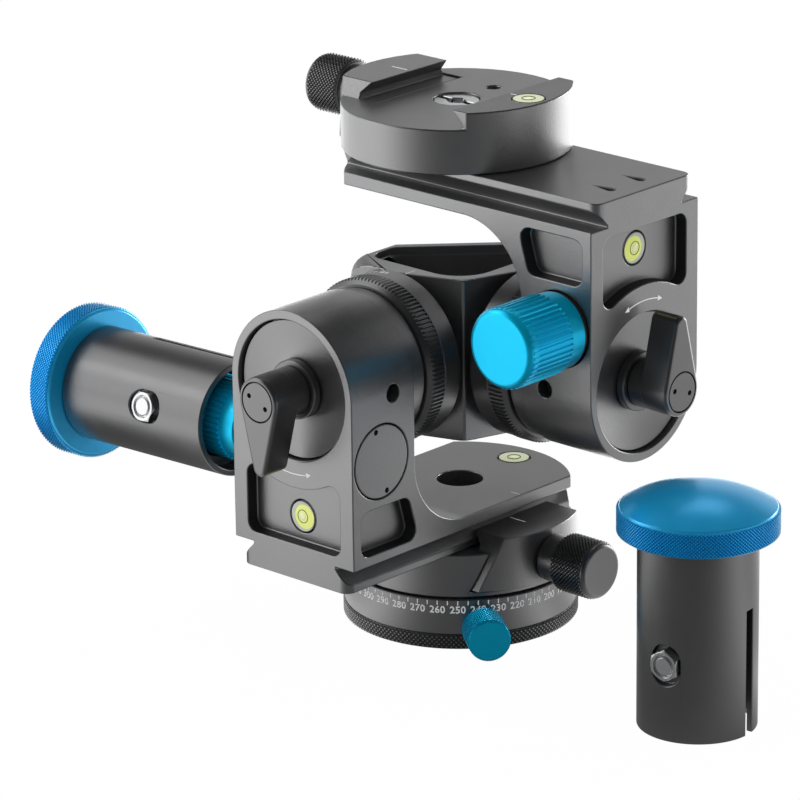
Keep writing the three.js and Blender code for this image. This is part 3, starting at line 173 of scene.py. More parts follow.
# %% Lamps
LAMPS = (
    # name, place, aim, width and height in mm, watts
    ("overhead box", (-350, 500, 900), (0, 0, 80), 500, 300, 0.4),
    ("left box", (-640, -300, 720), (0, 0, 60), 600, 600, 1.4),
    ("low left box", (-700, -700, 400), (0, 0, 60), 600, 700, 1.9),
    ("back box", (250, 1000, 160), (0, 0, 60), 300, 300, 2.5),
)
for name, place, aim, width, height, watts in LAMPS:
    bpy.ops.object.light_add(type="AREA", location=Vector(place) * MM)
    lamp = bpy.context.object
    lamp.name = name
    lamp.data.shape = "RECTANGLE"
    lamp.data.size = width * MM
    lamp.data.size_y = height * MM
    lamp.data.energy = watts
    toward = (Vector(aim) - Vector(place)).normalized()
    lamp.rotation_euler = toward.to_track_quat("-Z", "Y").to_euler()
print("lamps:", len(LAMPS))

# %% [markdown]
# The floor is white to the camera and keeps a faint shadow. A curved backdrop would do the same,
# but its horizon would show in the metal. In the mirror of the metal this floor is bright behind
# the object and falls off towards the camera, as where a studio table ends, and it is dark under
# the pushed-on handle. A few ramps over its own coordinates paint that.

# %% Floor
HANDLE_SHADE_AT = (-0.125, -0.045, 0)
FLOOR_MIRRORED = 0.85
FLOOR_GLOW_SEEN = 0.985
bpy.ops.mesh.primitive_plane_add(size=6, location=(0, 0, 0))
floor = bpy.context.object
floor.name = "floor"
white = bpy.data.materials.new("white floor")
white.use_nodes = True
tree = white.node_tree
shader = tree.nodes["Principled BSDF"]
shader.inputs["Roughness"].default_value = 0.9
spot = node_of(tree, "TexCoord").outputs["Object"]
normalised = node_of(tree, "VectorMath", operation="NORMALIZE")
tree.links.new(spot, normalised.inputs[0])
way = normalised.outputs[0]
front = ramp_between(tree, facing(tree, way, TO_CAMERA), 0.2, 1.0, 1.3, 0.15)
right_back = ramp_between(tree, facing(tree, way, (0.766, 0.643, 0)), 0.85, 0.99, 1.1, 0.5)
behind = ramp_between(tree, facing(tree, way, (-0.26, 0.966, 0)), 0.3, 0.9, 1.0, 1.8)
apart = node_of(tree, "VectorMath", operation="DISTANCE")
tree.links.new(spot, apart.inputs[0])
apart.inputs[1].default_value = HANDLE_SHADE_AT
under_handle = ramp_between(tree, apart.outputs["Value"], 0.045, 0.12, 0.12, 1.0)
path = node_of(tree, "LightPath")
seen = seen_directly(tree, path)
tone = node_of(tree, "Mix")
tree.links.new(seen, tone.inputs["Factor"])
tree.links.new(product(tree, front, right_back, under_handle, behind), tone.inputs["A"])
tone.inputs["B"].default_value = 1.0
colour = node_of(tree, "MixRGB", blend_type="MULTIPLY")
colour.inputs["Fac"].default_value = 1
colour.inputs["Color1"].default_value = (0.85, 0.85, 0.85, 1)
tree.links.new(tone.outputs["Result"], colour.inputs["Color2"])
tree.links.new(colour.outputs[0], shader.inputs["Base Color"])
glow = node_of(tree, "Emission")
tree.links.new(tone.outputs["Result"], glow.inputs["Strength"])
mirrored = node_of(tree, "Math", operation="MULTIPLY")
tree.links.new(path.outputs["Is Glossy Ray"], mirrored.inputs[0])
mirrored.inputs[1].default_value = FLOOR_MIRRORED
share = node_of(tree, "Math", operation="MULTIPLY_ADD")
tree.links.new(seen, share.inputs[0])
share.inputs[1].default_value = FLOOR_GLOW_SEEN
tree.links.new(mirrored.outputs[0], share.inputs[2])
mix = node_of(tree, "MixShader")
tree.links.new(share.outputs[0], mix.inputs["Fac"])
tree.links.new(shader.outputs[0], mix.inputs[1])
tree.links.new(glow.outputs[0], mix.inputs[2])
tree.links.new(mix.outputs[0], tree.nodes["Material Output"].inputs["Surface"])
floor.data.materials.append(white)
print("floor nodes:", len(tree.nodes))

# %% [markdown]
# The real head is aluminium, bead-blasted and then anodised, in black and in blue. That gives a
# satin metal with a very fine grain. A photograph of such a surface could be wrapped round it, but
# noise textures on the object's own coordinates need no image and no seams: fine noise bumps the
# surface, and wide noise varies colour and gloss a little.

# %% Finishes
GLOSS_SPREAD = 0.05


def noise(tree, place, scale, detail):
    """A noise texture on the piece's own coordinates."""
    cloud = node_of(tree, "TexNoise")
    cloud.inputs["Scale"].default_value = scale
    cloud.inputs["Detail"].default_value = detail
    tree.links.new(place, cloud.inputs["Vector"])
    return cloud.outputs["Fac"]


def spread(tree, source, low, high):
    """Spreads a pattern of 0 to 1 between two values."""
    scale = node_of(tree, "MapRange")
    scale.inputs["To Min"].default_value = low
    scale.inputs["To Max"].default_value = high
    tree.links.new(source, scale.inputs["Value"])
    return scale.outputs["Result"]


def finish(name, colour, metallic, roughness, grain, grain_scale, mottle, coat=0.0):
    """A metal or lacquer with fine grain in the bump and mottling in colour and gloss."""
    material = bpy.data.materials.new(name)
    material.use_nodes = True
    tree = material.node_tree
    shader = tree.nodes["Principled BSDF"]
    shader.inputs["Metallic"].default_value = metallic
    shader.inputs["Coat Weight"].default_value = coat
    shader.inputs["Coat Roughness"].default_value = 0.22 if metallic else 0.03
    place = node_of(tree, "TexCoord").outputs["Object"]
    cloud = noise(tree, place, 180, 6)
    tint = node_of(tree, "MixRGB", blend_type="MULTIPLY")
    tint.inputs["Fac"].default_value = 1
    tint.inputs["Color1"].default_value = (*colour, 1)
    tree.links.new(spread(tree, cloud, 1 - mottle, 1 + mottle), tint.inputs["Color2"])
    tree.links.new(tint.outputs["Color"], shader.inputs["Base Color"])
    gloss = spread(tree, cloud, roughness - GLOSS_SPREAD, roughness + GLOSS_SPREAD)
    tree.links.new(gloss, shader.inputs["Roughness"])
    if grain:
        bump = node_of(tree, "Bump")
        bump.inputs["Strength"].default_value = grain
        bump.inputs["Distance"].default_value = 0.2 * MM
        tree.links.new(noise(tree, place, grain_scale, 3), bump.inputs["Height"])
        tree.links.new(bump.outputs["Normal"], shader.inputs["Normal"])
    return material


FINISHES = {
    # colour, metallic, roughness, grain and its scale, mottling, coat
    "black_anodised": finish("black anodised", (0.300, 0.300, 0.304), 0.97, 0.34, 0.25, 2600, 0.05),
    "dark_anodised": finish("dark anodised", (0.210, 0.210, 0.213), 0.97, 0.32, 0.12, 2600, 0.05),
    "blue_anodised": finish("blue anodised", (0.0, 0.60, 0.96), 0.75, 0.30, 0.1, 2600, 0.05, 0.1),
    "blue_cap": finish("dark blue anodised", (0.01, 0.44, 0.86), 0.62, 0.30, 0.05, 2600, 0.05, 0.7),
    "steel": finish("turned steel", (0.78, 0.79, 0.80), 1.0, 0.28, 0.05, 900, 0.04),
    "bronze": finish("bronze", (0.42, 0.28, 0.12), 1.0, 0.35, 0.05, 900, 0.05),
    "vial": finish("level vial", (0.84, 0.92, 0.20), 0.0, 0.12, 0.0, 900, 0.03, 0.6),
    "pale_vial": finish("pale level vial", (0.62, 0.67, 0.42), 0.0, 0.12, 0.0, 900, 0.03, 0.4),
    "clear_glass": finish("clear glass", (0.50, 0.54, 0.46), 0.0, 0.08, 0.0, 900, 0.25, 0.8),
    "bubble": finish("bubble", (0.86, 0.92, 0.50), 0.0, 0.08, 0.0, 900, 0.02, 0.8),
    "white_marks": finish("white marks", (0.92, 0.92, 0.92), 0.0, 0.5, 0.0, 900, 0.04),
    # near black: the black rims and printed rings of the levels, and painted shade on the pocket
    # walls and the deep set screws
    "black_and_painted_shade": finish("near black and painted shade", (0.015, 0.015, 0.016), 0.3, 0.5, 0.0, 900, 0.04),
}
print("finishes:", len(FINISHES))

# %% [markdown]
# The record that comes with the frame says which finish each node has and which body it moves
# with. Each CAD node gets its finish here. Most of them are replaced further on by a piece with
# rounded edges, and the hidden ones, such as the worm wheels, stay as they are.

# %% Slots and bodies
SLOT_OF = {part["node"]: part["material_slot"] for part in frame["record"]["subparts"]}
BODIES = frame["record"]["behaviour"]["bodies"]
BODY_OF = {node: body for body, members in BODIES.items() for node in members}
for node in frame["nodes"]:
    frame["nodes"][node].data.materials.clear()
    frame["nodes"][node].data.materials.append(FINISHES[SLOT_OF[node]])
print("bodies:", len(BODIES))

# %% [markdown]
# An operator acts on all that is selected. With a mouse one would click the piece or its faces.
# Here they are selected in code, by their place or by the way that they look.

# %% Selecting
def only(piece):
    """Selects one piece and nothing else."""
    bpy.ops.object.select_all(action="DESELECT")
    piece.select_set(True)
    bpy.context.view_layer.objects.active = piece


def choose(piece, kind, test):
    """In edit mode, selects the verts, edges or faces that pass a test."""
    mode = {"verts": "VERT", "edges": "EDGE", "faces": "FACE"}[kind]
    bpy.ops.mesh.select_mode(type=mode)
    bpy.ops.mesh.select_all(action="DESELECT")
    mesh = bmesh.from_edit_mesh(piece.data)
    chosen = [element for element in getattr(mesh, kind) if test(element)]
    for element in chosen:
        element.select_set(True)
    mesh.select_flush_mode()
    bmesh.update_edit_mesh(piece.data)
    return len(chosen)


# %% [markdown]
# Most pieces come off a lathe. A profile is drawn on one side of the Z axis, point by point with
# Extrude, and Spin turns it all the way round. The seam and the poles are then merged. A Screw
# modifier or a primitive cylinder would do for plain discs, but a drawn profile also gives steps,
# grooves and domes in one go. Milled pieces are drawn as an outline and raised with Extrude.

# %% Lathe and mill
MERGE = 0.001 * MM
QUARTER = math.pi / 2


def line(name, points):
    """A chain of edges through points of (x, y, z) in mm, extruded from a single vertex."""
    bpy.ops.object.select_all(action="DESELECT")
    bpy.ops.mesh.primitive_plane_add(size=MM)
    piece = bpy.context.object
    piece.name = name
    bpy.ops.object.mode_set(mode="EDIT")
    bpy.ops.mesh.select_mode(type="VERT")
    bpy.ops.mesh.select_all(action="SELECT")
    bpy.ops.mesh.merge(type="CENTER")
    bpy.ops.transform.translate(value=Vector(points[0]) * MM)
    for here, there in zip(points, points[1:]):
        step = (Vector(there) - Vector(here)) * MM
        bpy.ops.mesh.extrude_region_move(TRANSFORM_OT_translate={"value": step})
    bpy.ops.mesh.select_all(action="SELECT")
    return piece


def turned(name, profile, steps=96):
    """Spins a profile of (radius, height) in mm round Z."""
    piece = line(name, [(radius, 0, height) for radius, height in profile])
    bpy.ops.mesh.spin(steps=steps, angle=2 * math.pi, center=(0, 0, 0), axis=(0, 0, 1))
    bpy.ops.mesh.select_all(action="SELECT")
    bpy.ops.mesh.remove_doubles(threshold=MERGE)
    bpy.ops.mesh.normals_make_consistent(inside=False)
    bpy.ops.object.mode_set(mode="OBJECT")
    return piece


def drawn(name, outline, low, high):
    """Fills a closed outline of (x, y) in mm and raises it from low to high."""
    piece = line(name, [(x, y, low) for x, y in (*outline, outline[0])])
    bpy.ops.mesh.remove_doubles(threshold=MERGE)
    bpy.ops.mesh.edge_face_add()
    bpy.ops.mesh.extrude_region_move(TRANSFORM_OT_translate={"value": (0, 0, (high - low) * MM)})
    bpy.ops.mesh.select_all(action="SELECT")
    bpy.ops.mesh.normals_make_consistent(inside=False)
    bpy.ops.object.mode_set(mode="OBJECT")
    return piece


def arc(x, y, radius, start, end, steps=24):
    """Points on an arc from one angle to another."""
    turns = [start + (end - start) * step / steps for step in range(steps + 1)]
    return [(x + radius * math.cos(turn), y + radius * math.sin(turn)) for turn in turns]


def rounded(corners, steps=8):
    """Points of a polygon whose corners are (x, y) or (x, y, rounding radius)."""
    points = []
    for index, (x, y, *rounding) in enumerate(corners):
        if not rounding:
            points.append((x, y))
            continue
        here = Vector((x, y))
        before = (Vector(corners[index - 1][:2]) - here).normalized()
        after = (Vector(corners[(index + 1) % len(corners)][:2]) - here).normalized()
        half = before.angle(after) / 2
        centre = here + (before + after).normalized() * (rounding[0] / math.sin(half))
        first = here + before * (rounding[0] / math.tan(half)) - centre
        sweep = math.copysign(math.pi - 2 * half, -before.cross(after))
        start = math.atan2(first.y, first.x)
        points += arc(*centre, rounding[0], start, start + sweep, steps)
    return points


# %% [markdown]
# No edge of a real machined piece is quite sharp: it is broken by a few tenths of a millimetre,
# and this thin line catches the light. The Bevel modifier rounds every sharp edge at once, and
# Weighted Normal keeps the flat faces flat. Bevelling by hand would allow other widths here and
# there, but the edges would have to be selected one by one.

# %% Soft edges
SMOOTH_ANGLE = math.radians(32)
MERGE_STEPS = (0.06, 0.03, 0.1, 0.015, 0.15, 0.005)


def modifier(piece, kind, **values):
    """Adds a modifier with these values and applies it."""
    only(piece)
    bpy.ops.object.modifier_add(type=kind)
    added = piece.modifiers[-1]
    for key, value in values.items():
        setattr(added, key, value)
    bpy.ops.object.modifier_apply(modifier=added.name)


def surface(piece):
    """The area of the drawn triangles and the diagonal of the box, in mm."""
    mesh = piece.data
    mesh.calc_loop_triangles()
    area = sum(triangle.area for triangle in mesh.loop_triangles) * 1e6
    corners = [Vector(vertex.co) for vertex in mesh.vertices]
    spans = [max(c[axis] for c in corners) - min(c[axis] for c in corners) for axis in range(3)]
    return area, Vector(spans).length / MM


def soften(piece, edge=0.3, segments=2):
    """Rounds the sharp edges by edge mm and smooths the faces between them.

    Cuts leave tiny edges that upset a bevel. They are merged first, by a distance at which the
    bevelled surface comes out no larger than it was.
    """
    sharp = piece.data.copy()
    area, diagonal = surface(piece)
    for distance in MERGE_STEPS:
        piece.data = sharp.copy()
        only(piece)
        bpy.ops.object.mode_set(mode="EDIT")
        bpy.ops.mesh.select_all(action="SELECT")
        bpy.ops.mesh.remove_doubles(threshold=distance * MM)
        bpy.ops.mesh.dissolve_degenerate(threshold=distance * MM)
        bpy.ops.object.mode_set(mode="OBJECT")
        bpy.ops.object.shade_smooth_by_angle(angle=SMOOTH_ANGLE)
        modifier(
            piece, "BEVEL", limit_method="ANGLE", angle_limit=SMOOTH_ANGLE, width=edge * MM,
            segments=segments, use_clamp_overlap=False, miter_outer="MITER_SHARP",
        )
        modifier(piece, "WEIGHTED_NORMAL", keep_sharp=True)
        new_area, new_diagonal = surface(piece)
        if new_area < area * 1.0005 and new_diagonal < diagonal + 0.05:
            return piece
    print("edges left rough:", piece.name, round(area), round(new_area))
    return piece


def creased(piece):
    """Smooths the faces between sharp edges, weighted by area so that flat faces stay flat."""
    only(piece)
    bpy.ops.object.shade_smooth_by_angle(angle=SMOOTH_ANGLE)
    modifier(piece, "WEIGHTED_NORMAL", keep_sharp=True)
    return piece


# %% [markdown]
# A piece is made round the Z axis, where it is easy to draw, and then laid in its place. The
# object could keep that turn, but patterns on object coordinates would slide when it is exported,
# so the place goes into the mesh. A piece that dresses a CAD node takes its place.

# %% Placing
def moved(piece, place):
    """Puts a piece in its place and applies that to its mesh."""
    only(piece)
    piece.matrix_world = place
    bpy.ops.object.transform_apply(location=True, rotation=True, scale=True)
    return piece


def settle(piece, place, node=None, body=None, slot=None, finish_name=None):
    """Puts a piece in its place, in its mesh, and gives it its body and its finish, the slot's
    unless a finish is named.
    """
    moved(piece, place)
    slot = slot or SLOT_OF[node]
    piece.data.materials.clear()
    piece.data.materials.append(FINISHES[finish_name or slot])
    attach(piece, body or BODY_OF[node])
    if node:
        piece.name = node + ".dressed"
        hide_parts(node)
    return piece


def painted(piece, finish_name, test):
    """Gives the faces that pass a test a second finish."""
    piece.data.materials.append(FINISHES[finish_name])
    only(piece)
    bpy.ops.object.mode_set(mode="EDIT")
    count = choose(piece, "faces", test)
    piece.active_material_index = len(piece.data.materials) - 1
    bpy.ops.object.material_slot_assign()
    bpy.ops.object.mode_set(mode="OBJECT")
    return count


def joined(piece, *others):
    """Joins other meshes into the piece."""
    only(piece)
    for other in others:
        other.select_set(True)
    if others:
        bpy.ops.object.join()
    return piece


def copied(piece, name):
    """A copy with its own mesh."""
    twin = bpy.data.objects.new(name, piece.data.copy())
    scene.collection.objects.link(twin)
    return twin


# %% [markdown]
# Drills and cutters are closed tools: rods, boxes and prisms. The Boolean modifier takes them out
# of a piece. A flat face with a hole in its middle is divided first by a plane through the hole,
# since a face can't have a hole in it without a seam.

# %% Cutting
OVER = 0.05


def combined(piece, operation, *tools):
    """Joins (UNION), cuts (DIFFERENCE) or trims (INTERSECT) the piece with closed tools."""
    for tool in tools:
        modifier(piece, "BOOLEAN", operation=operation, solver="MANIFOLD", object=tool)
        bpy.data.objects.remove(tool)
    return piece


def cut(piece, *tools):
    """Takes the tools out of the piece and removes them."""
    return combined(piece, "DIFFERENCE", *tools)


def split(piece, *planes):
    """Divides the faces along planes, each given as its normal and its distance in mm."""
    only(piece)
    bpy.ops.object.mode_set(mode="EDIT")
    for normal, distance in planes:
        bpy.ops.mesh.select_all(action="SELECT")
        bpy.ops.mesh.bisect(plane_co=Vector(normal) * distance * MM, plane_no=normal)
    bpy.ops.object.mode_set(mode="OBJECT")
    return piece


def rod(radius, low, high, sides=64):
    """A plain cylinder from low to high on the Z axis, as a cutting tool."""
    bpy.ops.object.select_all(action="DESELECT")
    bpy.ops.mesh.primitive_cylinder_add(
        vertices=sides, radius=radius * MM, depth=(high - low) * MM,
        location=(0, 0, (low + high) / 2 * MM),
    )
    bpy.ops.object.transform_apply(location=True, rotation=True, scale=True)
    return bpy.context.object


def block(low, high):
    """A box between two corners in mm."""
    bpy.ops.object.select_all(action="DESELECT")
    bpy.ops.mesh.primitive_cube_add(size=1, location=(Vector(low) + Vector(high)) / 2 * MM)
    box = bpy.context.object
    box.scale = (Vector(high) - Vector(low)) * MM
    bpy.ops.object.transform_apply(location=True, rotation=True, scale=True)
    return box


# %% [markdown]
# A diamond knurl is pressed into a turned band, and its crossed grooves leave small studs.
# It could be a bump texture, but a real edge of teeth shows on the outline. A drum is divided
# into a grid, Poke puts a point in each square, the grid is dissolved so that diamonds are left,
# and Inset raises each diamond with a flat top, so that crossed grooves are left between them.

# %% Diamond knurl
GROOVE_SHARE = 0.19


def knurled_drum(name, radius, low, high, columns, rows, depth):
    """A closed drum with a diamond knurl that stands out to radius, in mm."""
    floor_radius = radius - depth
    drum = rod(floor_radius, low, high, columns)
    drum.name = name
    only(drum)
    bpy.ops.object.mode_set(mode="EDIT")

    def upright(edge):
        run = edge.verts[0].co - edge.verts[1].co
        return abs(run.z) > 0.99 * run.length

    def on_grid(edge):
        run = edge.verts[0].co - edge.verts[1].co
        rim = all(
            min(abs(vertex.co.z - low * MM), abs(vertex.co.z - high * MM)) < MERGE
            for vertex in edge.verts
        )
        flat = abs(run.z) < 0.01 * run.length
        reach = all(vertex.co.xy.length > 0.9 * floor_radius * MM for vertex in edge.verts)
        return reach and (upright(edge) or (flat and not rim))

    def side(face):
        return abs(face.normal.z) < 0.4

    choose(drum, "edges", upright)
    bpy.ops.mesh.subdivide(number_cuts=rows - 1)
    choose(drum, "faces", side)
    bpy.ops.mesh.poke()
    choose(drum, "edges", on_grid)
    bpy.ops.mesh.dissolve_edges(use_verts=False)
    choose(drum, "faces", side)
    pitch = (high - low) / rows
    bpy.ops.mesh.inset(
        thickness=GROOVE_SHARE * pitch * MM, depth=depth * MM, use_individual=True,
    )
    bpy.ops.mesh.select_all(action="SELECT")
    bpy.ops.mesh.faces_shade_flat()
    bpy.ops.object.mode_set(mode="OBJECT")
    return drum


# %% [markdown]
# Straight flutes are simpler: a drum with four corners a tooth, of which two are drawn in with
# Resize. An array of small bars round the drum would look the same, but it wouldn't be one closed
# piece. The end of the teeth is turned off, round or conical, by a Boolean with a turned envelope.

# %% Straight flutes
def fluted_drum(name, radius, low, high, count, depth, nose, nose_steps=6):
    """A closed drum with straight flutes, whose upper end has a nose, conical at one step."""
    drum = rod(radius, low, high, 4 * count)
    drum.name = name
    only(drum)
    bpy.ops.object.mode_set(mode="EDIT")

    def in_valley(vertex):
        turn = math.atan2(vertex.co.y, vertex.co.x) / (2 * math.pi) * 4 * count
        return round(turn) % 4 < 2

    choose(drum, "verts", in_valley)
    inward = 1 - depth / radius
    bpy.ops.transform.resize(value=(inward, inward, 1), center_override=(0, 0, 0))
    bpy.ops.object.mode_set(mode="OBJECT")
    envelope = turned("nose", (
        (0, low - 1), (radius + 1, low - 1), (radius + 1, high - nose), (radius, high - nose),
        *arc(radius - nose, high - nose, nose, 0, QUARTER, nose_steps)[1:], (0, high),
    ), 192)
    combined(drum, "INTERSECT", envelope)
    only(drum)
    bpy.ops.object.shade_smooth_by_angle(angle=math.radians(20))
    return drum


# %% [markdown]
# The head has two equal units, so each piece is drawn once in the unit's own frame: Z points out
# of the cover, Y to the dovetail rail and X along the worm. Two matrices put it in place, the lower
# one with its rail down and the upper one with its rail up. Copying the finished lower unit and
# turning it would do too, but a few details of the two differ.

# %% Frames and shared sizes
X_WAY, Y_WAY, Z_WAY = (1, 0, 0), (0, 1, 0), (0, 0, 1)
SEAT_GAP = 0.3
AXIS_HEIGHT = 78.96
FACE_AT = 64.8
BACK_AT = 41.0
HALF = 21.38
NOTCH = 45.1
PLATE = 3.5
RAIL_TOP = 52.06
WORM_AT = 53.8
WORM_TO_WHEEL = 17.45
CLAMP_THICKNESS = 12.1
LOWER_CLAMP_AT = 14.5
TOP_CLAMP_AT = AXIS_HEIGHT + RAIL_TOP + SEAT_GAP
JAW_HEIGHT = 4.5
PAN_JAW_LEVEL = LOWER_CLAMP_AT + CLAMP_THICKNESS + JAW_HEIGHT
TOP_JAW_LEVEL = TOP_CLAMP_AT + CLAMP_THICKNESS + JAW_HEIGHT


def along(origin, direction):
    """The matrix that lays a piece made on the Z axis along a direction, from a point in mm."""
    turn = Vector(direction).to_track_quat("Z", "Y").to_matrix().to_4x4()
    return Matrix.Translation(Vector(origin) * MM) @ turn


def from_axes(x_axis, y_axis, z_axis, origin):
    """The matrix with these three axes and this origin in mm."""
    turn = Matrix((x_axis, y_axis, z_axis)).transposed().to_4x4()
    return Matrix.Translation(Vector(origin) * MM) @ turn


UNITS = {
    "lower": from_axes((-1, 0, 0), (0, 0, -1), (0, -1, 0), (0, 0, AXIS_HEIGHT)),
    "upper": from_axes(Y_WAY, Z_WAY, X_WAY, (0, 0, AXIS_HEIGHT)),
}
# The middle of each worm, and the way from there to its cap
WORMS = {
    "lower": ((0, -WORM_AT, AXIS_HEIGHT - WORM_TO_WHEEL), X_WAY),
    "upper": ((WORM_AT, 0, AXIS_HEIGHT + WORM_TO_WHEEL), Y_WAY),
}
# The same two faces with Y upwards, for marks that are read upright
FACES = {
    "lower": from_axes(X_WAY, Z_WAY, (0, -1, 0), (0, 0, AXIS_HEIGHT)),
    "upper": UNITS["upper"],
}
# An outline drawn in X and Y, turned so that it lies in X and Z, or in Z and Y
PLAN = from_axes(X_WAY, Z_WAY, (0, -1, 0), (0, 0, 0))
SIDE = from_axes(Z_WAY, Y_WAY, (-1, 0, 0), (0, 0, 0))


def plan_prism(outline, low, high):
    """A prism of an (x, z) outline that runs along Y."""
    return moved(drawn("plan", outline, -high, -low), PLAN)


def side_prism(outline, low, high):
    """A prism of a (z, y) outline that runs along X."""
    return moved(drawn("side", outline, -high, -low), SIDE)


def laid(radius, low, high, origin, direction, sides=64):
    """A rod along any direction, from a point in mm."""
    return moved(rod(radius, low, high, sides), along(origin, direction))


# %% [markdown]
# The two clamps hold a dovetail rail between a fixed and a movable jaw. Their bodies and jaws
# are milled discs with a clear shape in the CAD model, so they needn't be drawn again. A copy of
# each is cleaned of its loose triangles, and its edges are rounded like the rest.

# %% Clamps
def rounded_copy(node):
    """Copies a CAD node, merges its triangles into flat faces and rounds its edges."""
    piece = bpy.data.objects.new(node, frame["nodes"][node].data.copy())
    scene.collection.objects.link(piece)
    only(piece)
    bpy.ops.object.mode_set(mode="EDIT")
    bpy.ops.mesh.select_all(action="SELECT")
    bpy.ops.mesh.remove_doubles(threshold=0.01 * MM)
    bpy.ops.mesh.dissolve_limited(angle_limit=math.radians(0.6))
    bpy.ops.object.mode_set(mode="OBJECT")
    soften(piece, 0.35, 3)
    return settle(piece, Matrix(), node)


for node in ("pan_clamp_body", "pan_clamp_jaw", "top_clamp_body", "top_clamp_jaw"):
    rounded_copy(node)
# painted shade: the upward faces on top of the fixed jaw get the darker finish
almost_top = (TOP_JAW_LEVEL - 0.1) * MM
count = painted(
    bpy.data.objects["top_clamp_body.dressed"], "dark_anodised",
    lambda face: face.normal.z > 0.9 and face.calc_center_median().z > almost_top,
)
print("faces on top of the fixed jaw:", count)

# %% [markdown]
# The bracket is an L: an upright with a round end, a thin plate, a fillet between them and a
# dovetail rail. The real one is milled from a bar. It is built the same way here, as joined
# prisms with bores and pockets cut out, and the Bevel modifier then breaks every edge. A single
# subdivided mesh would be smoother but would lose the crisp flat faces.

# %% Bracket: the solid
END_RADIUS = 30
RAIL_HALF = 19
RAIL_NECK = 14.8
FILLET = 20
INNER = NOTCH - PLATE


def far_end(half, steps):
    """The round far end of the plate between two sides, in plan."""
    corner = math.asin(half / END_RADIUS)
    return arc(0, 0, END_RADIUS, -QUARTER + corner, -QUARTER - corner, steps)


def bracket_solid():
    """The upright, the plate, the fillet, the dovetail rail and the sleeve as one solid."""
    body = drawn(
        "bracket", ((HALF, NOTCH), *arc(0, 0, HALF, 0, -math.pi, 96), (-HALF, NOTCH)),
        BACK_AT, FACE_AT,
    )
    plan = ((HALF, FACE_AT - OVER), *far_end(HALF, 40), (-HALF, FACE_AT - OVER))
    fillet = (
        (BACK_AT + OVER, INNER - FILLET),
        *arc(BACK_AT - FILLET, INNER - FILLET, FILLET, 0, QUARTER, 32),
        (BACK_AT - FILLET, INNER + OVER), (BACK_AT + OVER, INNER + OVER),
    )
    neck, flank = NOTCH + 0.66, NOTCH + 4.86
    section = (
        (RAIL_NECK, NOTCH - OVER), (RAIL_NECK, neck), (RAIL_HALF, flank), (RAIL_HALF, RAIL_TOP),
        (-RAIL_HALF, RAIL_TOP), (-RAIL_HALF, flank), (-RAIL_NECK, neck),
        (-RAIL_NECK, NOTCH - OVER),
    )
    rail_plan = rounded((
        (-RAIL_HALF, FACE_AT, 2.8), (RAIL_HALF, FACE_AT, 2.8), *far_end(RAIL_HALF, 36),
    ))
    rail = combined(
        drawn("rail", section, -END_RADIUS - OVER, FACE_AT + OVER), "INTERSECT",
        plan_prism(rail_plan, INNER, RAIL_TOP + OVER),
    )
    return combined(
        body, "UNION", plan_prism(plan, INNER, NOTCH), side_prism(fillet, -HALF, HALF), rail,
        rod(20.6, BACK_AT - 4.9, BACK_AT + OVER, 128), rod(17, BACK_AT - 13.4, BACK_AT, 128),
    )


# %% [markdown]
# The bores come next: the stepped one for axle, bearing and cover, the crossing one for the worm
# with its two wider ends, a thread for the set screw, and a hole through plate and rail.

# %% Bracket: the bores
DROP_AT = 5.9
SET_SCREW_AT = FACE_AT - 15.8


def bored(body):
    """Drills a bracket's solid."""
    split(
        body, (X_WAY, 0), (X_WAY, DROP_AT), (X_WAY, -DROP_AT),
        (Y_WAY, 0.0), (Y_WAY, WORM_TO_WHEEL), (Y_WAY, 36),
    )
    worm = (0, WORM_TO_WHEEL, WORM_AT)
    return cut(
        body, rod(12.6, 27.5, 49.45, 96), split(rod(14.4, 49.4, 60.55, 96), (X_WAY, 0)),
        split(rod(18.95, 60.5, FACE_AT + OVER, 160), (X_WAY, 0)),
        laid(5.85, -HALF, HALF, worm, X_WAY),
        laid(10.2, HALF - 4.2, HALF + OVER, worm, X_WAY, 96),
        laid(10.2, -HALF - OVER, 4.2 - HALF, worm, X_WAY, 96),
        laid(2.35, -HALF - OVER, -13.5, (0, 0, SET_SCREW_AT), X_WAY, 40),
        laid(6.28, INNER - OVER, RAIL_TOP + OVER, (0, 0, 0), Y_WAY, 96),
    )


# %% [markdown]
# The pocket in the face has a bow over the cover disc, whose ends run into round corners. Its
# outline is made of arcs that touch each other, so that no kink shows. The seat of the level is
# drilled in its floor. Both sides have a smaller pocket, and the rail two drop-shaped notches.

# %% Bracket: the pockets
POCKET_DEPTH = 3.7
POCKET_HALF = 16.6
POCKET_TOP = 42.3
BOW = 26.6
SIDE_POCKET_OUTER = FACE_AT - 3.1
VIAL_AT = (0, 35.6, FACE_AT - POCKET_DEPTH)


def pocket_outline(corner=3.0):
    """The outline of the pocket in the face, with its bow below."""
    opening = math.acos((POCKET_HALF - corner) / (BOW + corner))
    x, low = POCKET_HALF - corner, (BOW + corner) * math.sin(opening)
    high = POCKET_TOP - corner
    return (
        *arc(-x, high, corner, QUARTER, math.pi, 8),
        *arc(-x, low, corner, math.pi, 2 * math.pi - opening, 12),
        *arc(0, 0, BOW, math.pi - opening, opening, 40)[1:-1],
        *arc(x, low, corner, opening - math.pi, 0, 12),
        *arc(x, high, corner, 0, QUARTER, 8),
    )


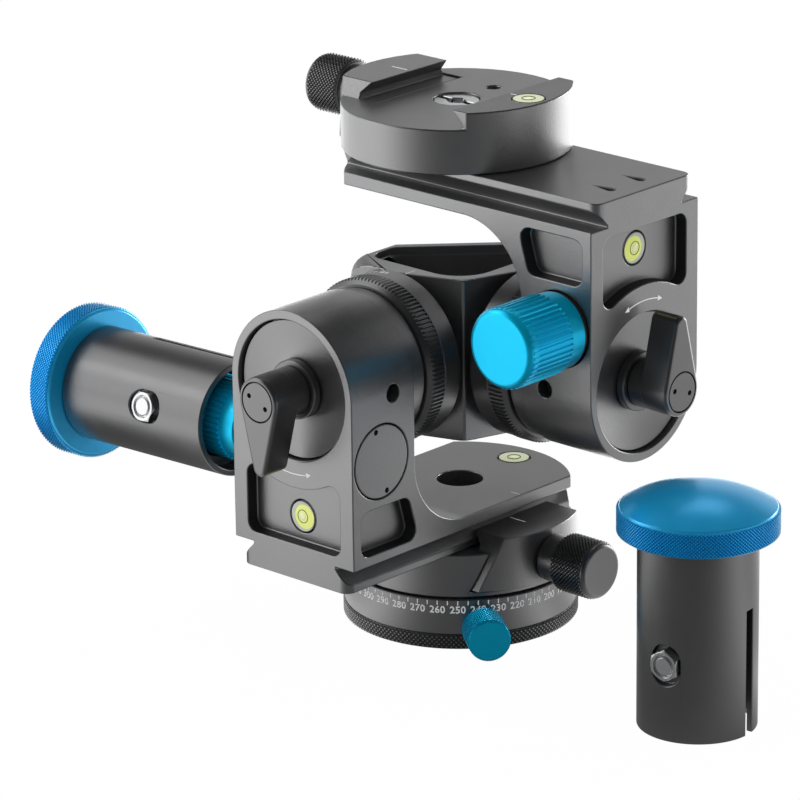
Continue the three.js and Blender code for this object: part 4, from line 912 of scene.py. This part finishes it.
def pocketed(body):
    """Mills the pockets, the level's seat and the notches."""
    outer = SIDE_POCKET_OUTER
    side_pocket = rounded((
        (outer, 29.9, 3), (outer - 18.1, 29.9, 3), (outer - 21.8, 42.4, 3), (outer, 42.4, 3),
    ))
    pocket = drawn("pocket", pocket_outline(), FACE_AT - POCKET_DEPTH, FACE_AT + OVER)
    cut(
        body, split(pocket, (X_WAY, 0)), side_prism(side_pocket, HALF - 4, HALF + OVER),
        side_prism(side_pocket, -HALF - OVER, 4 - HALF), laid(4.6, -2.5, OVER, VIAL_AT, Z_WAY),
    )
    for side in (-1, 1):
        drop = ((side * DROP_AT, 52.6), *arc(side * DROP_AT, 58.15, 1.25, 0, math.pi, 12))
        cut(body, plan_prism(drop, RAIL_TOP - 1.25, RAIL_TOP + OVER))
    return body


def pocket_wall(to_unit, face):
    """Whether a face belongs to the walls of a pocket, which get near-black painted shade."""
    x, y, z = to_unit @ face.calc_center_median() / MM
    normal = to_unit.to_3x3() @ face.normal
    outer = SIDE_POCKET_OUTER
    in_front = (
        abs(x) < 16.75 and 23 < y < 42.4
        and FACE_AT - 3.45 < z < FACE_AT - 0.32 and abs(normal.z) < 0.5
    )
    in_side = (
        HALF - 3.75 < abs(x) < HALF - 0.32 and 29.7 < y < 42.6
        and outer - 22.2 < z < outer + 0.1 and abs(normal.x) < 0.5
    )
    return in_front or in_side


# %% [markdown]
# The two brackets differ in one thing only: the lower one has a second level in its plate. So one
# is made and copied, and the seat is drilled in the copy. The walls of the pockets get the
# near-black finish as painted shade, because the real ones lie in deep shade.

# %% Both brackets
PLATE_VIAL_AT = (0, INNER, -22.1)
upper = pocketed(bored(bracket_solid()))
lower = copied(upper, "lower bracket")
cut(lower, laid(4.6, -OVER, 2.5, PLATE_VIAL_AT, Y_WAY))
for prefix, piece in (("lower", lower), ("upper", upper)):
    soften(piece, 0.3, 3)
    settle(piece, UNITS[prefix], prefix + "_bracket")
    to_unit = UNITS[prefix].inverted()
    # painted shade: the walls of the pockets get the near-black finish
    painted(piece, "black_and_painted_shade", lambda face: pocket_wall(to_unit, face))
    print(prefix, "bracket faces:", len(piece.data.polygons))

# %% [markdown]
# The worm runs in a bush on the knob's side, and a cap closes the bore on the other. Both are
# turned. The cap is a thin lid that fills its bore, so its small rounding is drawn in the profile,
# where a bevel would also round the two holes for a pin spanner. These are drilled afterwards.

# %% Worm caps and bushes
def pin_holes(radius, reach, bearing, low, high):
    """Two small drills opposite each other, at a reach from the Z axis and a bearing."""
    holes = []
    for side in (-1, 1):
        at = Vector((math.cos(bearing), math.sin(bearing), 0)) * side * reach * MM
        holes.append(moved(rod(radius, low, high, 24), Matrix.Translation(at)))
    return holes


for prefix, (middle, to_cap) in WORMS.items():
    cap = turned("worm_cap", (
        (0, HALF - 3.9), (9.9, HALF - 3.9), (9.9, HALF - 0.3),
        *arc(9.6, HALF - 0.3, 0.3, 0, QUARTER, 3)[1:], (0, HALF),
    ), 128)
    holes = pin_holes(0.75, 8.6, math.radians(13) + QUARTER, HALF - 1.6, HALF + 1)
    cut(cap, rod(3.5, HALF - 5, HALF - 1.5), *holes)
    creased(cap)
    settle(cap, along(middle, to_cap), prefix + "_worm_cap")
    bush = turned(prefix + "_worm_bush", (
        (3.5, HALF - 3.9), (9.9, HALF - 3.9), (9.9, HALF + 0.8), (3.5, HALF + 0.8),
        (3.5, HALF - 3.9),
    ), 96)
    soften(bush, 0.25)
    settle(bush, along(middle, [-c for c in to_cap]), prefix + "_worm_bush")
print("worm caps and bushes:", 2 * len(WORMS))

# %% [markdown]
# The two axles meet at a right angle in the corner block, a milled frame with a window from top
# to bottom and a shallow step round it. Its outline is drawn, and its corners are then trimmed by
# a turned barrel, as on a lathe. Two round pads carry the axles.

# %% Corner block
def window(spare):
    """The outline of the block's window, larger by spare."""
    near, far, chamfer = 17.3 + spare, 15.5 + spare, 7.1 + spare
    return rounded((
        (near, -near, 10), (near, far, 4.5), (far - chamfer, far, 4.5),
        (-far, chamfer - far, 4.5), (-far, -near, 4.5),
    ))


BLOCK_HALF = 22.25
envelope = turned("barrel", (
    (0, -BLOCK_HALF), *arc(24.3, -17.45, 4.8, -QUARTER, 0, 16),
    *arc(24.3, 17.45, 4.8, 0, QUARTER, 16), (0, BLOCK_HALF),
), 192)
corner_piece = drawn("corner_block", rounded((
    (18.2, -18.2, 1.2), (24, 0), (24, 17.2), (5.9, 17.2), (-17.2, -5.9), (-17.2, -24), (0, -24),
)), -BLOCK_HALF, BLOCK_HALF)
combined(corner_piece, "INTERSECT", envelope)
split(corner_piece, (X_WAY, 0), (Y_WAY, 0))
combined(
    corner_piece, "UNION", split(laid(16, 17.35, 24, (0, 0, 0), X_WAY, 96), (Z_WAY, 0)),
    split(laid(16, 17.35, 24, (0, 0, 0), (0, -1, 0), 96), (Z_WAY, 0)),
)
cut(
    corner_piece, split(drawn("rebate", window(0.6), 19.95, 23), (X_WAY, 0), (Y_WAY, 0)),
    split(drawn("rebate", window(0.6), -23, -19.95), (X_WAY, 0), (Y_WAY, 0)),
    split(drawn("window", window(0), -23, 23), (Z_WAY, 0)),
    laid(8, 17.15, 25, (0, 0, 0), X_WAY), laid(8, 17.15, 25, (0, 0, 0), (0, -1, 0)),
)
soften(corner_piece, 0.3, 3)
settle(corner_piece, Matrix.Translation((0, 0, AXIS_HEIGHT * MM)), "corner_block")
print("corner block faces:", len(corner_piece.data.polygons))

# %% [markdown]
# Each lock lever is a short arm with a round hub that narrows to a small round end. The outline is
# two arcs, whose straight sides touch both, raised and given a wide soft edge. A collar below it
# reaches into the cover disc, and the hub has a sunk seat for a cap.

# %% Lock levers
lean = math.asin((6.6 - 2.2) / 18.2)
lever_outline = (
    *arc(0, 0, 6.6, math.pi - lean, 2 * math.pi + lean, 72),
    *arc(0, 18.2, 2.2, lean, math.pi - lean, 24),
)
lever = drawn("lever", lever_outline, FACE_AT + 3.6, FACE_AT + 12.6)
soften(lever, 0.9, 4)
cut(lever, rod(4.9, FACE_AT + 3, FACE_AT + 7.3), rod(5.55, FACE_AT + 10.5, FACE_AT + 13, 96))
creased(lever)
hub = turned("hub", ((4.9, 64.5), (6.5, 64.5), (6.5, 69), (4.9, 69), (4.9, 64.5)), 96)
soften(hub, 0.15)
joined(lever, hub)
second = copied(lever, "second lever")
settle(lever, UNITS["lower"], "lower_lock_lever")
settle(second, UNITS["upper"], "upper_lock_lever")
print("lever faces:", len(lever.data.polygons))

# %% [markdown]
# The base is a turned drum. Its foot has a knurled band as a grip, and the smooth wall above
# carries the degree dial. The band is a piece of its own, because a knurl cut into the drum would
# have to be bevelled with it.

# %% Dial base
BASE_RADIUS = 31.5
LOCK_BEARING = math.radians(-37.8)
LOCK_HEIGHT = 6.8
lock_way = (math.cos(LOCK_BEARING), math.sin(LOCK_BEARING), 0)

base = turned("dial_base", (
    (6.3, 0), (30.8, 0), (31.3, 0.3), (31.3, 4.25), (BASE_RADIUS, 4.4), (BASE_RADIUS, 14.2),
    (14.0, 14.2), (14.0, 3.2), (9.2, 3.2), (9.2, 11.5), (6.3, 11.5), (6.3, 0),
), 180)
passage = rod(2.7, 12.9, 33)
passage.matrix_world = along((0, 0, LOCK_HEIGHT), lock_way)
cut(base, passage)
soften(base, 0.25)
settle(base, Matrix(), "dial_base")
knurl = knurled_drum("base_knurl", 31.9, 0.3, 4.25, 154, 3, 0.5)
settle(knurl, Matrix(), body="base", slot="black_anodised")
print("base knurl faces:", len(knurl.data.polygons))

# %% [markdown]
# A small blue knob locks the panning. Its screw goes through the base's wall to a pad inside. The
# shank and the plain face are one turned piece, and the knurled band goes round it.

# %% Pan lock knob
lock = turned("pan_lock_knob", (
    (0, 19.0), (2.4, 19.0), (2.4, 32.8), (4.8, 32.8), (5.3, 33.3),
    (5.3, 42.5), (5.75, 42.65), (5.75, 42.9), (5.45, 43.2), (0, 43.2),
), 64)
soften(lock, 0.25)
settle(lock, along((0, 0, LOCK_HEIGHT), lock_way), "pan_lock_knob")
settle(
    knurled_drum("lock_knurl", 5.85, 33.3, 42.6, 34, 8, 0.5), along((0, 0, LOCK_HEIGHT), lock_way),
    body=BODY_OF["pan_lock_knob"], slot="blue_anodised",
)

# %% [markdown]
# The clamp knobs are black, with a plain shoulder, a knurled grip and a rounded face. As on the
# lock knob, the turned core carries a separate knurled band, and one profile serves both clamps.

# %% Clamp knobs
CLAMP_SCREWS = {
    "pan": along((0.9, 0, LOWER_CLAMP_AT + 8.3), X_WAY),
    "top": along((0.8, 0, TOP_CLAMP_AT + 8.3), (-1, 0, 0)),
}
for prefix, place in CLAMP_SCREWS.items():
    knob = turned(prefix + "_clamp_knob", (
        (2.8, 32.23), (6.4, 32.23), (6.4, 37.63), (7.0, 37.63), (7.4, 37.9), (7.4, 47.6),
        *arc(6.1, 47.83, 1.6, 0.35, QUARTER, 8), (0, 49.43),
        (0, 43.83), (2.8, 43.83), (2.8, 32.23),
    ), 96)
    soften(knob, 0.15)
    settle(knob, place, prefix + "_clamp_knob")
    knurl = knurled_drum(prefix + "_knob_knurl", 7.95, 37.9, 47.9, 44, 9, 0.5)
    settle(knurl, place, body=BODY_OF[prefix + "_clamp_knob"], slot="dark_anodised")
print("clamp knobs:", len(CLAMP_SCREWS))

# %% [markdown]
# Each axle carries a scale ring with a fine toothed grip, whose end is conical. The ring is turned
# in steps, and the teeth are a fluted drum round it. A knurl wouldn't do, since the real teeth are
# straight.

# %% Scale rings
for prefix, place in UNITS.items():
    ring = turned(prefix + "_scale_ring", (
        (17.3, 24.3), (22.6, 24.3), (22.6, 30.2), (22.1, 30.4),
        (22.1, 34.2), (21.0, 35.7), (17.3, 35.7), (17.3, 24.3),
    ), 144)
    soften(ring, 0.2)
    settle(ring, place, prefix + "_scale_ring")
    teeth = fluted_drum(prefix + "_ring_teeth", 22.85, 30.35, 35.8, 116, 0.6, 1.5, 1)
    settle(teeth, place, body=BODY_OF[prefix + "_scale_ring"], slot="dark_anodised")
print("scale rings:", len(UNITS))

# %% [markdown]
# The disc in the bracket's face is dished a little towards the lever's hub. A few points of the
# profile follow that curve, and smooth shading joins them. The collar round the hub and the cap in
# the lever are turned as well. The cap has two pin holes, as the worm's cap has.

# %% Cover discs, hub collars and lever caps
for prefix, place in UNITS.items():
    cover = turned(prefix + "_cover_disc", (
        (4.9, 60.8), (18.45, 60.8), (18.45, 63.3), (15.5, 62.7), (12.5, 62.15),
        (10.0, 61.8), (8.25, 61.6), (4.9, 61.6), (4.9, 60.8),
    ), 160)
    soften(cover, 0.15)
    settle(cover, place, prefix + "_cover_disc")
    collar = turned(prefix + "_hub_collar", (
        (4.9, 61.9), (7.95, 61.9), (7.95, 64.2), (4.9, 64.2), (4.9, 61.9),
    ), 96)
    soften(collar, 0.35)
    settle(collar, place, prefix + "_hub_collar")
    bearing = math.radians(-24 if prefix == "lower" else -17)
    low, high = FACE_AT + 10.8, FACE_AT + 12.6
    cap = turned("lever_cap", (
        (0, low), (5.2, low), (5.2, high - 0.15), (5.05, high), (0, high),
    ), 96)
    cut(cap, *pin_holes(0.7, 3.1, bearing, FACE_AT + 11.4, FACE_AT + 13.5))
    creased(cap)
    settle(cap, FACES[prefix], prefix + "_lever_cap")
print("covers, collars and lever caps:", 3 * len(UNITS))

# %% [markdown]
# The blue knobs turn the worms. The real ones are fluted along the grip, and their plain end is
# rounded. The flutes are a drum of their own, joined with a turned end, since the flutes would run
# through the rounding otherwise.

# %% Worm knobs
for prefix, (middle, to_cap) in WORMS.items():
    place = along(middle, [-c for c in to_cap])
    knob = turned(prefix + "_worm_knob", (
        (3.5, 22.48), (10.2, 22.48), (10.2, 27.8), (9.0, 27.8), (9.0, 40.0),
        (0, 40.0), (0, 36.2), (3.5, 36.2), (3.5, 22.48),
    ), 96)
    soften(knob, 0.3)
    settle(knob, place, prefix + "_worm_knob")
    flutes = fluted_drum(prefix + "_knob_flutes", 10.8, 27.68, 43.2, 44, 0.55, 0.8)
    end = turned("end", (
        (0, 41), (10.6, 41), (10.6, 42.5), *arc(8.9, 42.5, 1.7, 0, QUARTER, 8)[1:],
        (0, 44.2), (0, 41),
    ), 128)
    creased(end)
    joined(flutes, end)
    settle(flutes, place, body=BODY_OF[prefix + "_worm_knob"], slot="blue_anodised")
print("worm knobs:", len(WORMS))

# %% [markdown]
# A crank handle is a slit tube that clamps on a worm knob, with a lock nut in a long recess and a
# domed blue cap with a knurled rim. The one on the lower knob leans by its play. The other stands
# on the floor. Both are made by the same steps, and only their places differ.

# %% Handles
NUT_AT = (0, 0, 20.6)
TUBE_LENGTH = 51.6
nut_bearing = math.radians(168)
nut_way = Vector((0, math.cos(nut_bearing), math.sin(nut_bearing)))
outwards = Vector((-1, 0, 0))
lean_down = Matrix.Rotation(math.radians(-1.5), 4, "Y")
grip = Matrix.Translation(Vector((-39.6, -WORM_AT, AXIS_HEIGHT - WORM_TO_WHEEL)) * MM)
laid_along_worm = from_axes(nut_way, outwards.cross(nut_way), outwards, (10, 0, 0))
spare_spot = Matrix.Translation(Vector((100, -20.66, 0)) * MM)
HANDLES = {
    "mounted": grip @ lean_down @ laid_along_worm,
    "spare": spare_spot @ Matrix.Rotation(math.radians(-83), 4, "Z"),
}
for prefix, place in HANDLES.items():
    tube = turned(prefix + "_handle_tube", (
        (11.25, 0), (15.57, 0), (15.57, TUBE_LENGTH), (11.25, TUBE_LENGTH), (11.25, 0),
    ), 128)
    mouth = rod(13.9, -1, 6, 128)
    slit = block((0, -1.5, -1), (32, 1.5, 34))
    moved(slit, Matrix.Rotation(math.radians(91), 4, "Z"))
    recess_outline = (
        *arc(0, 1.3, 4.3, 0, math.pi, 20), *arc(0, -1.3, 4.3, math.pi, 2 * math.pi, 20),
    )
    recess = moved(
        drawn("recess", recess_outline, 13.17, 17),
        from_axes((0, -1, 0), (0, 0, -1), X_WAY, NUT_AT),
    )
    cut(tube, mouth, slit, recess, laid(2.3, 2, 17, NUT_AT, X_WAY))
    soften(tube, 0.25)
    settle(tube, place, prefix + "_handle_tube")

    rim = TUBE_LENGTH + 0.3
    chord, rise = 20.3, 5.3
    sphere = (chord ** 2 + rise ** 2) / (2 * rise)
    sweep = math.asin(chord / sphere)
    centre = rim + 7.4 + rise - sphere
    turns = [sweep * (1 - step / 12) for step in range(1, 12)]
    dome = [(sphere * math.sin(turn), centre + sphere * math.cos(turn)) for turn in turns]
    cap = turned(prefix + "_handle_cap", (
        (0, rim - 9), (10.95, rim - 9), (10.95, rim), (19.9, rim),
        (20.35, rim + 0.5), (20.35, rim + 6.9), (20.2, rim + 7.45), *dome, (0, rim + 7.4 + rise),
    ), 160)
    soften(cap, 0.2)
    settle(cap, place, prefix + "_handle_cap")
    knurl = knurled_drum(prefix + "_cap_knurl", 20.9, rim + 0.5, rim + 6.9, 136, 7, 0.42)
    settle(knurl, place, body=BODY_OF[prefix + "_handle_cap"], slot="blue_cap")

    nut = rod(4.4, 13.5, 16.3, 6)
    envelope = turned("envelope", ((0, 13), (5, 13), (5, 15.3), (3.75, 16.3), (0, 16.3)), 96)
    groove = turned("groove", ((2.3, 15.0), (3.0, 15.0), (3.0, 17), (2.3, 17), (2.3, 15.0)), 64)
    combined(nut, "INTERSECT", envelope)
    cut(nut, groove, rod(2.2, 13, 14))
    soften(nut, 0.12)
    settle(nut, place @ along(NUT_AT, X_WAY), prefix + "_handle_lock_nut")
print("handles:", len(HANDLES))

# %% [markdown]
# A spirit level is a round glass: a black rim, green liquid, a printed circle and an air bubble.
# In the two upright ones the liquid stands a little to one side of a clear glass. Real glass with
# liquid inside would be dark at this size, so each layer is a thin opaque disc on the one below.

# %% Levels
VIALS = {
    # place of the glass's top, finish of the liquid
    "lower_face_vial": (UNITS["lower"] @ along(VIAL_AT, Z_WAY), "vial"),
    "upper_face_vial": (UNITS["upper"] @ along(VIAL_AT, Z_WAY), "vial"),
    "lower_plate_vial": (UNITS["lower"] @ along(PLATE_VIAL_AT, (0, -1, 0)), "pale_vial"),
    "top_clamp_vial": (along((25.1, 0, TOP_JAW_LEVEL), Z_WAY), "pale_vial"),
}
for node, (place, liquid) in VIALS.items():
    clear = liquid == "vial"
    glass = turned(node, (
        (0, -2.2), (4.3, -2.2), (4.3, -0.05), (4.1, -0.05),
        (4.1, 0.02), (2.4, 0.07), (1.2, 0.1), (0, 0.11),
    ), 64)
    only(glass)
    bpy.ops.object.shade_smooth_by_angle(angle=SMOOTH_ANGLE)
    settle(glass, place, node, finish_name="clear_glass" if clear else liquid)
    body = BODY_OF[node]
    if clear:
        pool = turned(node + "_liquid", (
            (0, 0.0), (3.35, 0.0), (3.35, 0.08), (2.4, 0.12), (0, 0.15),
        ), 64)
        settle(pool, place @ Matrix.Translation((0.6 * MM, 0, 0)), body=body, slot="vial")
    rim = turned(node + "_rim", (
        (4.08, -0.1), (4.3, -0.1), (4.3, 0.06), (4.08, 0.06), (4.08, -0.1),
    ), 64)
    settle(rim, place, body=body, slot="dark_anodised", finish_name="black_and_painted_shade")
    printed = turned(node + "_print", (
        (1.68, 0.05), (1.84, 0.05), (1.84, 0.18), (1.68, 0.18), (1.68, 0.05),
    ), 48)
    settle(printed, place, body=body, slot="dark_anodised", finish_name="black_and_painted_shade")
    bubble = turned(node + "_bubble", (
        (0, 0.05), (1.25, 0.05), (1.1, 0.18), (0.7, 0.22), (0, 0.24),
    ), 40)
    only(bubble)
    bpy.ops.object.shade_smooth_by_angle(angle=math.radians(60))
    settle(bubble, place, body=body, slot="vial", finish_name="bubble")
print("levels:", len(VIALS))

# %% [markdown]
# The marks are engraved and filled with white. They are thin closed pieces that stand a few
# hundredths of a millimetre out of the metal, since a texture would need an image. A tick is one
# box, copied round the dial, one for every five degrees. The numbers count every ten degrees. Each
# digit is text made a mesh once, and the digits are set one by one, so that they follow the wall.

# %% Dial marks
DIAL_ZERO = 200.6
TICK_HEIGHT = 13.3
DIGIT_HEIGHT = 11.3
DIGIT_WIDTH = 1.45
SUNK, PROUD = 0.1, 0.03


def dial_place(azimuth, height, radius=BASE_RADIUS):
    """A frame on the base's wall: X to the right, Y up, Z out."""
    out = Vector((math.cos(azimuth), math.sin(azimuth), 0))
    return from_axes((-out.y, out.x, 0), (0, 0, 1), out, (out.x * radius, out.y * radius, height))


tick = block((-0.15, -0.6, -SUNK), (0.15, 0.6, PROUD))
marks = []
for value in range(0, 360, 5):
    place = dial_place(math.radians(DIAL_ZERO - value), TICK_HEIGHT)
    marks.append(moved(copied(tick, "tick"), place))
bpy.data.objects.remove(tick)
digits = {}
for digit in "0123456789":
    bpy.ops.object.text_add()
    letter = bpy.context.object
    letter.data.body = digit
    letter.data.size = 2.75 * MM
    letter.data.extrude = 0.05 * MM
    letter.data.offset = 0.055 * MM
    letter.data.resolution_u = 3
    letter.data.align_x = "CENTER"
    letter.data.align_y = "CENTER"
    only(letter)
    bpy.ops.object.convert(target="MESH")
    digits[digit] = bpy.context.object
for value in range(0, 360, 10):
    text = str(value)
    for index, digit in enumerate(text):
        shift = (index - (len(text) - 1) / 2) * DIGIT_WIDTH / BASE_RADIUS
        place = dial_place(math.radians(DIAL_ZERO - value) + shift, DIGIT_HEIGHT)
        marks.append(moved(copied(digits[digit], "digit"), place))
dial = joined(*marks)
dial.name = "dial_marks"
settle(dial, Matrix(), body="base", slot="white_marks")
print("dial faces:", len(dial.data.polygons))

# %% [markdown]
# Short lines show where the clamps' middle and the zero of a scale are. Each is a flat box. The
# rings' scales lie on a cylinder, so each tick is made at the top and turned to its place.

# %% Index lines and ring scales
def engraved(level):
    """The lower and upper level of a mark in a flat face."""
    return level - SUNK, level + PROUD


PLATE_LEVEL = AXIS_HEIGHT - INNER
BLOCK_TOP = AXIS_HEIGHT + BLOCK_HALF
LINES = {
    # the node that it is on, its two opposite corners in plan, its lower and upper level
    "pan_jaw_line": ("pan_clamp_jaw", (19.2, -1.53), (24.6, -1.27), *engraved(PAN_JAW_LEVEL)),
    "top_jaw_line": ("top_clamp_jaw", (-23.6, 0.27), (-18.0, 0.53), *engraved(TOP_JAW_LEVEL)),
    "fixed_jaw_line": ("top_clamp_body", (18.6, 0.27), (20.6, 0.53), *engraved(TOP_JAW_LEVEL)),
    "plate_line": ("lower_bracket", (17.7, 0.57), (21.0, 0.83), *engraved(PLATE_LEVEL)),
    "block_line": (
        "corner_block", (2.5, -23.4), (2.72, -19.8), BLOCK_TOP - 0.15, BLOCK_TOP + PROUD,
    ),
}
for name, (node, first, last, low, high) in LINES.items():
    index_line = block((*first, low), (*last, high))
    index_line.name = name
    settle(index_line, Matrix(), body=BODY_OF[node], slot="white_marks")

for prefix, place in FACES.items():
    way = 1 if prefix == "lower" else -1
    marks = []
    for step in range(13):
        tick = block((-0.12, 22.5, 26.2 if step % 2 else 25.6), (0.12, 22.63, 27.4))
        marks.append(moved(tick, Matrix.Rotation(math.radians(way * (8 + 5 * step)), 4, "Z")))
    for index, digit in enumerate("30"):
        turn = way * 4 - (index - 0.5) * 3.2
        upright = from_axes(X_WAY, (0, 0, -1), Y_WAY, (0, 22.6, 27.0))
        number = moved(copied(digits[digit], "digit"), upright @ Matrix.Scale(0.62, 4))
        marks.append(moved(number, Matrix.Rotation(math.radians(turn), 4, "Z")))
    scale = joined(*marks)
    scale.name = prefix + "_ring_scale"
    settle(scale, place, body=BODY_OF[prefix + "_scale_ring"], slot="white_marks")
for digit in digits.values():
    bpy.data.objects.remove(digit)
print("lines:", len(LINES), "ring scales:", len(FACES))

# %% [markdown]
# Curved arrows beside the lock levers show which way they turn. A curve with a bevel would make a
# round wire, and the real arrow is flat, so its outline is drawn and raised like a milled piece.

# %% Arrows
HEAD_LENGTH = 1.7
HEAD_HALF = 0.75


def arrow(radius, start, end, heads, half=0.14):
    """The outline of a curved arrow, with a head at its end and perhaps at its start."""
    reach = math.copysign(HEAD_LENGTH / radius, end - start)
    first = start + (reach if heads == 2 else 0)
    last = end - reach
    end_head = ((radius + HEAD_HALF, last), (radius, end), (radius - HEAD_HALF, last))
    start_head = ((radius - HEAD_HALF, first), (radius, start), (radius + HEAD_HALF, first))
    outline = arc(0, 0, radius + half, first, last, 16)
    outline += [(r * math.cos(turn), r * math.sin(turn)) for r, turn in end_head]
    outline += arc(0, 0, radius - half, last, first, 16)
    if heads == 2:
        outline += [(r * math.cos(turn), r * math.sin(turn)) for r, turn in start_head]
    return outline


ARROWS = {
    # radius, start and end in degrees, heads
    "lower": (22.7, -100.0, -73.1, 1),
    "upper": (22.25, 72.2, 111.1, 2),
}
for prefix, (radius, start, end, heads) in ARROWS.items():
    outline = arrow(radius, math.radians(start), math.radians(end), heads)
    piece = drawn(prefix + "_arrow", outline, FACE_AT - SUNK, FACE_AT + PROUD)
    settle(piece, FACES[prefix], body=BODY_OF[prefix + "_bracket"], slot="white_marks")
print("arrows:", len(ARROWS))

# %% [markdown]
# The last pieces are two kinds of screw. The camera's screw in the top clamp has a slot and a
# hexagon in its head, cut with a box and a six-sided rod. The set screws sit deep in the brackets,
# so they are headless rods with a hexagon in the near-black finish, as painted shade.

# %% Screws
screw = turned("camera_mount_screw", (
    (0, -6.66), (4.4, -6.66), (4.4, 8.4), (6.1, 8.4), (6.1, 11.6), (0, 11.6),
), 96)
cut(screw, block((-7, -1, 10.2), (7, 1, 13)), rod(2.7, 9.2, 13, 6))
soften(screw, 0.25)
settle(screw, Matrix.Translation((0, 0, TOP_CLAMP_AT * MM)), "camera_mount_screw")
for prefix, unit in UNITS.items():
    screw = rod(2.05, 13.8, HALF - 3, 48)
    cut(screw, rod(1.2, HALF - 5.5, HALF, 6))
    soften(screw, 0.2)
    place = unit @ along((0, 0, SET_SCREW_AT), (-1, 0, 0))
    # painted shade: the deep set screws get the near-black finish
    settle(screw, place, prefix + "_set_screw", finish_name="black_and_painted_shade")
print("screws:", 1 + len(UNITS))
